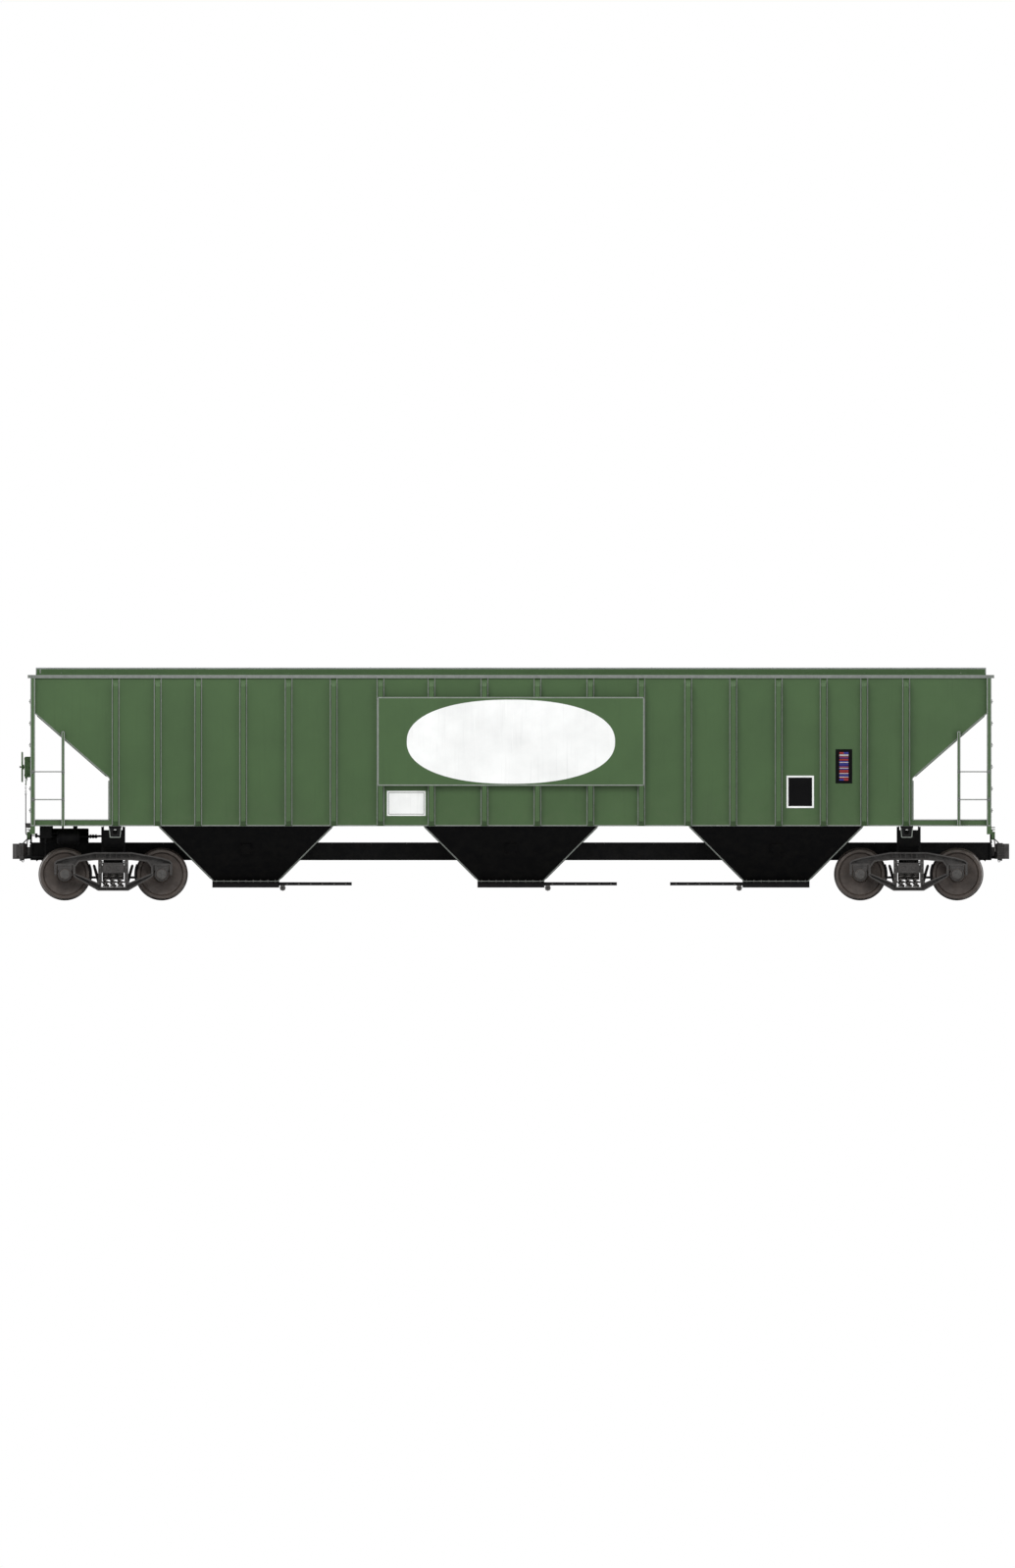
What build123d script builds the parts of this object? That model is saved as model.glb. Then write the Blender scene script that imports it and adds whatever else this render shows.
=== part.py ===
from build123d import *
import math
import os

os.makedirs("parts", exist_ok=True)

# A covered hopper car for bulk grain, with three hoppers that empty between the rails.
# X runs along the track with the A end at plus X, Y runs across it with the left side at
# plus Y, and Z rises from the tips of the wheel flanges. All lengths are millimetres.

# Fits
overrun = 40
seat_gap = 0.3
pin_gap = 0.6
half_share = 0.5

# Body envelope
body_half_length = 8820
eave_overhang = 50
sill_bottom_z = 1364
eave_z = 4140
walk_rise = 135
sheet_inner_y = 1464
sheet_wall = 6
side_outer_y = sheet_inner_y + sheet_wall

# Side sill, a closed three-cornered section under the side sheet
side_sill_height = 124
side_sill_depth = 90
side_sill_wall = 8

# Side posts, pressed channels welded to the sheet, placed by shares of the half length
post_place_shares = (0.0551, 0.1653, 0.2714, 0.3689, 0.4627, 0.5571, 0.6508, 0.7351, 0.8227)
post_width = 108
post_depth = 130
post_wall = 6
post_crown_share = 0.74
post_top_rise = 150
post_foot_rise = 90
post_face_y = side_outer_y + post_depth

# Corner posts
corner_post_width = 86
corner_post_wall = 8

# Name board across the six middle posts
board_bottom_z = 2106
board_top_z = 3733
board_wall = 5
board_lip = 14

# Eave rail round the top of the body
chord_height = 60
chord_overhang = 40
chord_wall = 6
chord_flange = 70

# Roof sheet with one long row of hatches
roof_rise = 46
roof_wall = 5
roof_flat_half_width = 330
roof_setback = 100

# Hatch row: four covers, hinged along the left edge
hatch_count = 4
hatch_end_margin = 460
hatch_gap = 200
coaming_half_width = 300
coaming_height = 58
coaming_wall = 6
cover_wall = 5
cover_lap = 12
cover_skirt = 10
cover_batten_height = 18
cover_batten_width = 60
cover_batten_count = 7
hinge_pin_radius = 8
hinge_eye_radius = 15
hinge_reach = 45
hinge_rise = 9
hinge_plate = 12
hinge_side_gap = 3
hinge_count = 4
hinge_inset = 525
saddle_gap = 6
riser_wall = 8

# Running boards on the roof
walk_inner_y = 480
walk_outer_y = 900
walk_thickness = 26
walk_end_width = 300
walk_bracket_width = 40
walk_bracket_count = 11

# Ends of the body
end_wall_setback = 90
end_wall = 6
bay_top_z = 3421
bay_setback = 1445
knee_setback = 213
bay_inner_z = 2239
slope_wall = 8
web_wall = 8
platform_wall = 8
end_post_y = 520
end_post_width = 90
end_post_wall = 10
end_sill_height = 150
end_sill_wall = 12

# Hoppers
hopper_end_setback = 2347
hopper_top_half_length = 1607
outlet_half_length = 603
outlet_half_width = 450
outlet_top_z = 360
hopper_wall = 8
partition_wall = 6
hood_rise = 130
hood_wall = 8

# Outlet gates, each a plate drawn along the track by racks and pinions
gate_frame_depth = 124
gate_frame_wall = 12
gate_rim = 70
gate_plate = 12
gate_drop = 48
gate_ledge = 30
gate_side_gap = 4
gate_end_gap = 6
gate_travel = 1190
rack_half_spacing = 250
rack_width = 26
rack_bar = 12
tooth_pitch = 37.7
tooth_height = 20
tooth_tip_share = 0.22
tooth_root_share = 0.5
pinion_teeth = 8
pinion_width = 34
mesh_gap = 4
shaft_radius = 22
shaft_half_length = 830
capstan_radius = 52
capstan_length = 70
capstan_square = 34
gate_bearing_wall = 20

# Centre sill
centre_sill_bottom_z = 739
centre_sill_height = 327
centre_sill_half_width = 165
centre_sill_wall = 10
centre_sill_flange = 50
striker_thickness = 30
striker_half_width = 250

# Body bolsters over the trucks
truck_setback = 1520
bolster_half_length = 180
bolster_web = 12
bolster_cover = 12
bolster_knee_y = 720
bolster_rise_y = 960
bolster_rise = 240
bolster_end_drop = 80
centre_plate_radius = 178
centre_plate_flange_radius = 230
centre_plate_flange = 16

# Towing and jacking lugs
lug_half_length = 119
lug_shift = 35
lug_height = 214
lug_thickness = 44
lug_hole_radius = 46
lug_pad = 18

# Ladders and grab irons
ladder_post_setback = 598.5
ladder_post_width = 59
ladder_post_top_z = 3105
rung_radius = 10
rung_places_z = (1852, 2363)
rung_standoff = 18
rung_foot_share = 0.7
end_ladder_inner_y = 1030
end_ladder_pitch = 400
end_ladder_count = 6
end_ladder_stile = 50
end_ladder_wall = 8

# Trucks
wheel_base = 1778
tread_radius = 457.2
flange_height = 25.4
wheel_back_y = 676.5
rim_width = 145
flange_width = 34
tread_fall = 6
rim_depth = 56
plate_wall = 26
plate_dish = 34
hub_radius = 138
hub_overhang = 16
seat_radius = 110
axle_radius = 92
journal_radius = 82
journal_y = 1003
bearing_radius = 126
bearing_length = 160
cap_radius = 96
cap_thickness = 28
cap_gap = 3
adapter_half_width = 132
adapter_height = 42

side_frame_thickness = 150
side_frame_rim = 26
side_frame_pocket = 90
frame_bottom_z = 178
frame_top_z = 884
frame_fillet = 16
frame_fall_share = 0.14
column_half_gap = 215
column_width = 62
spring_seat_z = 250
window_top_z = 742
jaw_half_width = 150
jaw_leg = 44
jaw_leg_drop = 190
spring_radius = 64
spring_pitch = 134
spring_count = 3
spring_top_z = 500

truck_bolster_half_width = 196
truck_bolster_top_z = 690
truck_bolster_belly = 120
truck_bolster_belly_y = 560
truck_bolster_overhang = 14
bowl_inner_radius = 184
bowl_wall = 22
bowl_depth = 26
bowl_sink = 14
side_bearing_y = 635
side_bearing_half_length = 110
side_bearing_half_width = 60
side_bearing_gap = 6

shoe_gap = 8
shoe_thickness = 38
shoe_width = 86
shoe_half_deg = 22
beam_size = 44
beam_drop = 60
beam_strut = 60

# Couplers
coupler_z = 902
coupler_pivot_setback = 320
coupler_pull_reach = 300
coupler_pin_radius = 35
shank_half_width = 65
shank_half_height = 80
head_half_height = 140
head_gap = 50
head_length = 270
head_half_width = 205
knuckle_pivot_back = 120
knuckle_pivot_side = 115
knuckle_ear_radius = 54
knuckle_hub_radius = 45
knuckle_pin_radius = 18
knuckle_hub_half_height = 76
knuckle_ear_gap = 4
knuckle_nose_half_height = 124
knuckle_nose_depth = 60
knuckle_nose_inner_side = -14
knuckle_fillet = 18

# Hand brake and air brake gear at the B end
brake_wheel_radius = 280
brake_wheel_rim = 16
brake_wheel_hub = 44
brake_wheel_z = 2450
brake_spokes = 5
brake_box_half_width = 130
brake_box_half_height = 190
brake_box_depth = 110
brake_wheel_gap = 40
brake_wheel_clearance = 5
brake_spindle_radius = 14
reservoir_radius = 150
reservoir_length = 900
reservoir_setback = 620
reservoir_y = 820
cylinder_radius = 130
cylinder_length = 420
cylinder_setback = 700
cylinder_y = 760
gear_drop = 190
strap_width = 40
strap_wall = 8
valve_size = 220
train_pipe_radius = 17
train_pipe_y = 330
train_pipe_z = 800


# Small shape helpers


def middle(span):
    return (span[0] + span[1]) / 2


def block(x_span, y_span, z_span):
    """A block between two limits along each axis."""
    size = [abs(span[1] - span[0]) for span in (x_span, y_span, z_span)]
    return Pos(middle(x_span), middle(y_span), middle(z_span)) * Box(*size)


def outline(points):
    return make_face(Polyline(*points, close=True))


def prism_x(points, x_span):
    """An outline of (y, z) points drawn out along X."""
    plane = Plane.YZ.offset(x_span[0])
    return extrude(plane * outline(points), amount=x_span[1] - x_span[0])


def prism_y(points, y_span):
    """An outline of (x, z) points drawn out along Y."""
    plane = Plane.XZ.offset(-y_span[1])
    return extrude(plane * outline(points), amount=y_span[1] - y_span[0])


def prism_z(points, z_span):
    """An outline of (x, y) points drawn out along Z."""
    plane = Plane.XY.offset(z_span[0])
    return extrude(plane * outline(points), amount=z_span[1] - z_span[0])


def rod_x(radius, x_span, y, z):
    return Pos(middle(x_span), y, z) * Rot(0, 90, 0) * Cylinder(radius, x_span[1] - x_span[0])


def rod_y(radius, y_span, x, z):
    return Pos(x, middle(y_span), z) * Rot(90, 0, 0) * Cylinder(radius, y_span[1] - y_span[0])


def rod_z(radius, z_span, x, y):
    return Pos(x, y, middle(z_span)) * Cylinder(radius, z_span[1] - z_span[0])


def bent_plate(points, wall):
    """Closed outline of a plate bent along a line, with its thickness on the line's left."""
    line = [Vector(*point) for point in points]
    runs = [(b - a).normalized() for a, b in zip(line, line[1:])]
    normals = [run.rotate(Axis.Z, 90) for run in runs]
    shifts = [normals[0]]
    for before, after in zip(normals, normals[1:]):
        shifts.append((before + after) * (1 / (1 + before.dot(after))))
    shifts.append(normals[-1])
    far_side = [point + shift * wall for point, shift in zip(line, shifts)]
    return [(point.X, point.Y) for point in (*line, *reversed(far_side))]


def mirrored_line(points):
    """A half outline, given from the middle outwards, and its mirror image."""
    return [(-x, z) for x, z in reversed(points)] + list(points)


def flip_x(shape):
    return mirror(shape, about=Plane.YZ)


def flip_y(shape):
    return mirror(shape, about=Plane.XZ)


def both_sides(shape):
    return [shape, flip_y(shape)]


def both_ends(shape):
    return [shape, flip_x(shape)]


def four_corners(shape):
    return [turned for half in both_ends(shape) for turned in both_sides(half)]


def fuse(shapes):
    """One solid from pieces that meet."""
    first, *others = shapes
    return first.fuse(*others) if others else first


def save(name, *pieces):
    """Write one sub-part, made of one or more solids, to its own file."""
    solids = [solid for piece in pieces for solid in piece.solids()]
    export_step(Compound(solids), f"parts/{name}.step")


# Lines that several pieces follow

eave_half_length = body_half_length + eave_overhang
roof_top_z = eave_z + walk_rise
roof_half_length = body_half_length - roof_setback
hatch_run = 2 * (roof_half_length - hatch_end_margin) + hatch_gap
hatch_pitch = hatch_run / hatch_count
hatch_half_length = (hatch_pitch - hatch_gap) / 2
post_places = [share * body_half_length for share in post_place_shares]
bay_inner_x = body_half_length - bay_setback
hopper_pitch = body_half_length - hopper_end_setback - hopper_top_half_length
truck_place = body_half_length - truck_setback
lug_place = truck_place - lug_shift
ladder_post_place = body_half_length - ladder_post_setback
coupler_pivot_place = body_half_length - coupler_pivot_setback
coupler_pull_place = body_half_length + coupler_pull_reach
reservoir_place = body_half_length - reservoir_setback
cylinder_place = body_half_length - cylinder_setback
sill_top_z = sill_bottom_z + side_sill_height
hopper_top_half_width = sheet_inner_y - side_sill_depth
end_wall_x = body_half_length - end_wall_setback
corner_post_inner_x = body_half_length - corner_post_width
chord_outer_y = side_outer_y + chord_overhang
chord_bottom_z = eave_z - chord_height
hopper_places = {"a": hopper_pitch, "b": -hopper_pitch, "c": 0}
gate_ways = {"a": -1, "b": 1, "c": 1}
hopper_run = hopper_top_half_length - outlet_half_length
hopper_fall = sill_bottom_z - outlet_top_z
hopper_slope = hopper_run / hopper_fall
bay_slope = (bay_top_z - bay_inner_z) / (end_wall_x - bay_inner_x)
end_hopper_x = hopper_pitch + hopper_top_half_length
knee_x = bay_inner_x - knee_setback
knee_z = bay_inner_z - bay_slope * knee_setback
end_floor_slope = (knee_x - end_hopper_x) / (knee_z - sill_bottom_z)
ridge_x = hopper_pitch / 2
ridge_z = sill_bottom_z + (ridge_x - hopper_top_half_length) / hopper_slope
roof_top_inner_z = eave_z + roof_rise
coaming_top_z = roof_top_inner_z + roof_wall + coaming_height
axle_z = tread_radius + flange_height
centre_sill_top_z = centre_sill_bottom_z + centre_sill_height


def bay_z(x):
    """Height of the sloping end sheet's lower face."""
    return bay_inner_z + bay_slope * (x - bay_inner_x)


def sill_section(grow=0):
    """The side sill's three-cornered outline, on the left side."""
    return [
        (sheet_inner_y, sill_bottom_z),
        (sheet_inner_y, sill_top_z),
        (hopper_top_half_width - grow, sill_bottom_z),
    ]


# Sides of the body


def side_sheet():
    """Left side sheet, cut back along the sloping end sheets."""
    half = [
        (bay_inner_x, sill_bottom_z),
        (bay_inner_x, bay_inner_z),
        (corner_post_inner_x, bay_z(corner_post_inner_x)),
        (corner_post_inner_x, eave_z - chord_wall),
    ]
    return prism_y(mirrored_line(half), (sheet_inner_y, side_outer_y))


def side_sill():
    """Left side sill: a flat outer face, a flat foot and a slope that sheds the load."""
    inner = offset(outline(sill_section()), -side_sill_wall, kind=Kind.INTERSECTION)
    section = outline(sill_section()) - inner
    plane = Plane.YZ.offset(-corner_post_inner_x)
    return extrude(plane * section, amount=2 * corner_post_inner_x)


def post_body(width, crown, depth, top_z, foot_z, shrink):
    """A post's outer or inner form: tapered in plan, run back at its head and its foot."""
    plan = [
        (-width / 2, side_outer_y - shrink),
        (width / 2, side_outer_y - shrink),
        (crown / 2, side_outer_y + depth),
        (-crown / 2, side_outer_y + depth),
    ]
    side = [
        (side_outer_y - shrink, foot_z),
        (side_outer_y + depth, foot_z + post_foot_rise),
        (side_outer_y + depth, top_z - post_top_rise),
        (side_outer_y - shrink, top_z),
    ]
    return prism_z(plan, (foot_z, top_z)) & prism_x(side, (-width, width))


def side_post():
    """One pressed post, open towards the sheet, at the middle of the left side."""
    crown = post_width * post_crown_share
    outer = post_body(post_width, crown, post_depth, chord_bottom_z, sill_bottom_z, 0)
    inner = post_body(
        post_width - 2 * post_wall,
        crown - 2 * post_wall,
        post_depth - post_wall,
        chord_bottom_z - 2 * post_wall,
        sill_bottom_z + 2 * post_wall,
        post_wall,
    )
    return outer - inner


def side_posts():
    """The posts of the left side."""
    post = side_post()
    return [Pos(way * place, 0, 0) * post for place in post_places for way in (-1, 1)]


def corner_post():
    """Corner post of the left A corner, a channel open towards the car."""
    outer = block(
        (corner_post_inner_x, body_half_length),
        (sheet_inner_y, post_face_y),
        (sill_bottom_z, chord_bottom_z),
    )
    hollow = block(
        (corner_post_inner_x + corner_post_wall, body_half_length - corner_post_wall),
        (sheet_inner_y - overrun, post_face_y - corner_post_wall),
        (sill_bottom_z + corner_post_wall, chord_bottom_z - corner_post_wall),
    )
    return outer - hollow


def name_board():
    """Plain board across the middle posts, its long edges turned in against them."""
    half_length = post_places[2] + post_width / 2
    face_y = post_face_y + board_wall
    board = block((-half_length, half_length), (post_face_y, face_y), (board_bottom_z, board_top_z))
    turned_in = [
        block((-half_length, half_length), (post_face_y - board_lip, face_y), span)
        for span in (
            (board_bottom_z - board_wall, board_bottom_z),
            (board_top_z, board_top_z + board_wall),
        )
    ]
    notches = [
        block(
            (way * place - post_width / 2, way * place + post_width / 2),
            (side_outer_y, post_face_y),
            (sill_bottom_z, eave_z),
        )
        for place in post_places[:3]
        for way in (-1, 1)
    ]
    return fuse([board, *turned_in]) - notches


def top_chord():
    """Eave rail right round the body, an upright skirt with a flange, in four lengths."""
    lid = block(
        (-eave_half_length, eave_half_length),
        (-chord_outer_y, chord_outer_y),
        (chord_bottom_z, eave_z),
    )
    under = block(
        (-eave_half_length + chord_wall, eave_half_length - chord_wall),
        (-chord_outer_y + chord_wall, chord_outer_y - chord_wall),
        (chord_bottom_z - overrun, eave_z - chord_wall),
    )
    opening = block(
        (-roof_half_length + chord_flange, roof_half_length - chord_flange),
        (-chord_outer_y + chord_flange, chord_outer_y - chord_flange),
        (chord_bottom_z, eave_z + overrun),
    )
    ring = lid - under - opening
    flat_y = chord_outer_y - chord_flange
    reach = (-eave_half_length, eave_half_length)
    side = ring & block(reach, (flat_y, chord_outer_y), (chord_bottom_z, eave_z))
    end = ring & block((0, eave_half_length), (-flat_y, flat_y), (chord_bottom_z, eave_z))
    return [*both_sides(side), *both_ends(end)]


save("side_sheets", *both_sides(side_sheet()))
save("side_sills", *both_sides(side_sill()))
left_posts = side_posts()
save("side_posts_left", *left_posts)
save("side_posts_right", *[flip_y(post) for post in left_posts])
save("name_boards", *both_sides(name_board()))
save("top_chord", *top_chord())


# Roof and hatches

hatch_places = [
    (index - (hatch_count - 1) / 2) * hatch_pitch for index in range(hatch_count)
]
hinge_y = coaming_half_width + hinge_reach
hinge_z = coaming_top_z + cover_wall + hinge_rise
hinge_places = [
    (2 * index / (hinge_count - 1) - 1) * (hatch_half_length - hinge_inset)
    for index in range(hinge_count)
]


def roof_slope_z(y):
    """Height of the roof's sloping top face at a distance from the middle."""
    fall = roof_rise / (chord_outer_y - chord_flange - roof_flat_half_width)
    sheet_top_z = roof_top_inner_z + roof_wall * math.sqrt(1 + fall**2)
    return sheet_top_z - fall * (y - roof_flat_half_width)


def roof_sheet():
    """Roof panels: one down each side, cross panels between the hatches and the end walls."""
    flat_y = chord_outer_y - chord_flange
    mouth_y = coaming_half_width - coaming_wall
    line = [
        (-chord_outer_y, eave_z),
        (-flat_y, eave_z),
        (-roof_flat_half_width, roof_top_inner_z),
        (-mouth_y, roof_top_inner_z),
    ]
    side = prism_x(bent_plate(line, roof_wall), (-roof_half_length, roof_half_length))
    starts = [-roof_half_length, *[place + hatch_half_length for place in hatch_places]]
    stops = [*[place - hatch_half_length for place in hatch_places], roof_half_length]
    across = [
        block(span, (-mouth_y, mouth_y), (roof_top_inner_z, roof_top_inner_z + roof_wall))
        for span in zip(starts, stops)
    ]
    end = prism_x(
        [
            (-flat_y, eave_z),
            (flat_y, eave_z),
            (roof_flat_half_width, roof_top_inner_z),
            (-roof_flat_half_width, roof_top_inner_z),
        ],
        (roof_half_length - roof_wall, roof_half_length),
    )
    return [*both_sides(side), *across, *both_ends(end)]


def roof_saddle(place):
    """Low box across the roof between two hatches, clear of both covers."""
    low_half = hatch_gap / 2 - coaming_wall - saddle_gap
    top_half = low_half - cover_lap
    seat_z = roof_top_inner_z + roof_wall
    step_z = coaming_top_z - cover_skirt - saddle_gap
    half = [(low_half, seat_z), (low_half, step_z), (top_half, step_z), (top_half, coaming_top_z)]
    width = (-coaming_half_width, coaming_half_width)
    return Pos(place, 0, 0) * prism_y(mirrored_line(half), width)


def roof_riser():
    """Toe plate under the left running board, from the last hatch to the A end."""
    inner_y = walk_outer_y - riser_wall
    points = [
        (inner_y, roof_slope_z(inner_y)),
        (walk_outer_y, roof_slope_z(walk_outer_y)),
        (walk_outer_y, roof_top_z - walk_thickness),
        (inner_y, roof_top_z - walk_thickness),
    ]
    return prism_x(points, (hatch_places[-1] + hatch_half_length, roof_half_length))


def hinge_bracket(place, side):
    """One cheek of a hatch hinge, standing on the outside of the coaming."""
    near = place + side * (hinge_plate / 2 + hinge_side_gap)
    far = near + side * hinge_plate / 2
    top = hinge_z + hinge_eye_radius / 2
    step_z = coaming_top_z - cover_skirt - 2 * hinge_rise
    points = [
        (coaming_half_width, roof_top_inner_z + roof_wall),
        (hinge_y + hinge_eye_radius / 2, roof_top_inner_z + roof_wall),
        (hinge_y + hinge_eye_radius / 2, top),
        (hinge_y - hinge_eye_radius, top),
        (hinge_y - hinge_eye_radius, step_z),
        (coaming_half_width, step_z),
    ]
    return prism_x(points, (min(near, far), max(near, far)))


def coaming(place):
    """Upright rim round one hatch opening, with its hinge cheeks and pins."""
    span_z = (roof_top_inner_z + roof_wall, coaming_top_z)
    half = hatch_half_length + coaming_wall
    inner_y = coaming_half_width - coaming_wall
    long_wall = block((-half, half), (inner_y, coaming_half_width), span_z)
    end_wall = block((hatch_half_length, half), (-inner_y, inner_y), span_z)
    pieces = [long_wall]
    for hinge in hinge_places:
        pieces += [hinge_bracket(hinge, side) for side in (-1, 1)]
        reach = hinge_plate / 2 + hinge_side_gap + hinge_plate / 2
        pin = rod_x(hinge_pin_radius, (hinge - reach, hinge + reach), hinge_y, hinge_z)
        pieces.append(pin)
    walls = [fuse(pieces), flip_y(long_wall), *both_ends(end_wall)]
    return [Pos(place, 0, 0) * wall for wall in walls]


def hinge_eye(place):
    """The cover's hinge leaf with its eye round the pin."""
    top = hinge_z + hinge_eye_radius / 2
    base_z = coaming_top_z + seat_gap + cover_wall
    leaf = prism_x(
        [
            (coaming_half_width - hinge_eye_radius, base_z),
            (hinge_y, hinge_z - hinge_eye_radius),
            (hinge_y, top),
            (coaming_half_width - hinge_eye_radius, base_z + cover_wall),
        ],
        (place - hinge_plate / 2, place + hinge_plate / 2),
    )
    span = (place - hinge_plate / 2, place + hinge_plate / 2)
    eye = rod_x(hinge_eye_radius, span, hinge_y, hinge_z)
    bore = rod_x(hinge_pin_radius + pin_gap, span, hinge_y, hinge_z)
    return fuse([leaf, eye]) - bore


def hatch_cover(place):
    """One long hatch cover: a shallow pan stiffened by battens across it."""
    bottom = coaming_top_z + seat_gap
    half_y = coaming_half_width + cover_lap
    half_x = hatch_half_length + coaming_wall + cover_lap
    top = block((-half_x, half_x), (-half_y, half_y), (bottom, bottom + cover_wall))
    skirt_z = (bottom - cover_skirt, bottom)
    side_skirt = block((-half_x, half_x), (half_y - cover_wall, half_y), skirt_z)
    end_skirt_y = (-half_y + cover_wall, half_y - cover_wall)
    end_skirt = block((half_x - cover_wall, half_x), end_skirt_y, skirt_z)
    step = 2 * hatch_half_length / cover_batten_count
    across = [
        (-half_y, bottom + cover_wall),
        (half_y - 2 * cover_lap, bottom + cover_wall),
        (half_y - 3 * cover_lap, bottom + cover_wall + cover_batten_height),
        (-half_y + cover_lap, bottom + cover_wall + cover_batten_height),
    ]
    battens = [
        Pos((index + half_share) * step - hatch_half_length, 0, 0)
        * prism_x(across, (-cover_batten_width / 2, cover_batten_width / 2))
        for index in range(cover_batten_count)
    ]
    eyes = [hinge_eye(hinge) for hinge in hinge_places]
    pan = fuse([top, *battens, *eyes])
    pieces = [pan, *both_sides(side_skirt), *both_ends(end_skirt)]
    return [Pos(place, 0, 0) * piece for piece in pieces]


def walk_bracket(place):
    """A bracket that stands on the left roof slope under the running board."""
    top = roof_top_z - walk_thickness
    inner = walk_inner_y + walk_bracket_width
    outer = walk_outer_y - walk_bracket_width
    points = [
        (inner, roof_slope_z(inner)),
        (outer, roof_slope_z(outer)),
        (outer, top),
        (inner, top),
    ]
    half = walk_bracket_width / 2
    return Pos(place, 0, 0) * prism_x(points, (-half, half))


def running_boards():
    """Running boards along both sides of the hatch row, joined across each end."""
    span_z = (roof_top_z - walk_thickness, roof_top_z)
    long_board = block(
        (-roof_half_length, roof_half_length), (walk_inner_y, walk_outer_y), span_z
    )
    end_board = block(
        (roof_half_length - walk_end_width, roof_half_length),
        (-walk_inner_y, walk_inner_y),
        span_z,
    )
    last = roof_half_length - walk_bracket_width
    brackets = []
    for index in range(walk_bracket_count):
        place = (2 * index / (walk_bracket_count - 1) - 1) * last
        brackets += both_sides(walk_bracket(place))
    return [*both_sides(long_board), *both_ends(end_board), *brackets]


between_hatches = [place + hatch_pitch / 2 for place in hatch_places[:-1]]
saddles = [roof_saddle(place) for place in between_hatches]
save("roof_sheet", *roof_sheet(), *saddles, *four_corners(roof_riser()))
save("hatch_coamings", *[wall for place in hatch_places for wall in coaming(place)])
for number, place in enumerate(hatch_places, start=1):
    save(f"hatch_cover_{number}", *hatch_cover(place))
save("running_boards", *running_boards())


# Ends of the body and the floors of the load space


def end_slope_sheet():
    """Bent sheet from the A end wall down to the end hopper."""
    start = sill_bottom_z - overrun
    line = [
        (end_hopper_x - end_floor_slope * overrun, start),
        (knee_x, knee_z),
        (end_wall_x, bay_top_z),
    ]
    sheet = prism_y(bent_plate(line, slope_wall), (-sheet_inner_y, sheet_inner_y))
    return trimmed(sheet)


def trimmed(sheet):
    """Cut a cross sheet off at the hopper tops and round the side sills."""
    reach = (-body_half_length, body_half_length)
    below = block(reach, (-post_face_y, post_face_y), (sill_bottom_z - 2 * overrun, sill_bottom_z))
    sills = both_sides(prism_x(sill_section(), reach))
    return sheet - [below, *sills]


def cross_ridge():
    """Ridge between the middle hopper and the A end hopper."""
    start = sill_bottom_z - overrun
    left = hopper_top_half_length - hopper_slope * overrun
    line = [(left, start), (ridge_x, ridge_z), (2 * ridge_x - left, start)]
    return trimmed(prism_y(bent_plate(line, slope_wall), (-sheet_inner_y, sheet_inner_y)))


def partition():
    """Upright wall on the ridge, up to the roof sheet, that parts two compartments."""
    flat_y = chord_outer_y - chord_flange
    peak = ridge_z + slope_wall * math.sqrt(1 + 1 / hopper_slope**2) * hopper_slope
    points = [
        (flat_y, peak),
        (flat_y, eave_z),
        (roof_flat_half_width, roof_top_inner_z),
        (-roof_flat_half_width, roof_top_inner_z),
        (-flat_y, eave_z),
        (-flat_y, peak),
    ]
    wall = prism_x(points, (ridge_x - partition_wall / 2, ridge_x + partition_wall / 2))
    side = block(
        (ridge_x - partition_wall / 2, ridge_x + partition_wall / 2),
        (-sheet_inner_y, sheet_inner_y),
        (peak, eave_z - chord_wall),
    )
    return fuse([wall, side])


def end_wall_sheet():
    """Upright wall above the A end slope sheet."""
    return block(
        (end_wall_x, end_wall_x + end_wall),
        (-sheet_inner_y, sheet_inner_y),
        (bay_top_z, eave_z - chord_wall),
    )


def bolster_web_wall():
    """Upright wall in the A end bay, from the platform up to the slope sheet."""
    outer_x = bay_inner_x
    inner_x = bay_inner_x - web_wall
    points = [
        (inner_x, sill_bottom_z + platform_wall),
        (outer_x, sill_bottom_z + platform_wall),
        (outer_x, bay_z(outer_x)),
        (inner_x, bay_z(inner_x)),
    ]
    wall = prism_y(points, (-sheet_inner_y, sheet_inner_y))
    sills = both_sides(prism_x(sill_section(), (inner_x, outer_x)))
    return wall - sills


def end_platform():
    """Flat plate between the sills, from the bolster out to the A end sill."""
    start = truck_place - bolster_half_length
    return block(
        (start, corner_post_inner_x),
        (-hopper_top_half_width, hopper_top_half_width),
        (sill_bottom_z, sill_bottom_z + platform_wall),
    ) - both_sides(prism_x(sill_section(), (start, body_half_length)))


def end_sill():
    """A end sill, a channel across the car under the corner posts."""
    outer = block(
        (corner_post_inner_x, body_half_length),
        (-post_face_y, post_face_y),
        (sill_bottom_z - end_sill_height, sill_bottom_z),
    )
    hollow = block(
        (corner_post_inner_x - overrun, body_half_length - end_sill_wall),
        (-post_face_y + end_sill_wall, post_face_y - end_sill_wall),
        (
            sill_bottom_z - end_sill_height + end_sill_wall,
            sill_bottom_z - end_sill_wall,
        ),
    )
    return outer - hollow


def end_post():
    """Upright between the A end sill and the end slope sheet, left of the middle."""
    outer = block(
        (end_wall_x + end_wall, body_half_length),
        (end_post_y - end_post_width / 2, end_post_y + end_post_width / 2),
        (sill_bottom_z, eave_z - chord_wall),
    )
    hollow = block(
        (end_wall_x - overrun, body_half_length - end_post_wall),
        (
            end_post_y - end_post_width / 2 + end_post_wall,
            end_post_y + end_post_width / 2 - end_post_wall,
        ),
        (sill_bottom_z + end_post_wall, eave_z - chord_wall - end_post_wall),
    )
    return outer - hollow


save("end_slope_sheets", *both_ends(end_slope_sheet()))
save("partitions", *both_ends(partition()))
save("end_walls", *both_ends(end_wall_sheet()), *both_ends(bolster_web_wall()))
save("end_platforms", *both_ends(end_platform()))
save("end_sills", *both_ends(end_sill()))
save("end_posts", *four_corners(end_post()), *four_corners(corner_post()))


# Hoppers and outlet gates

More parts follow.
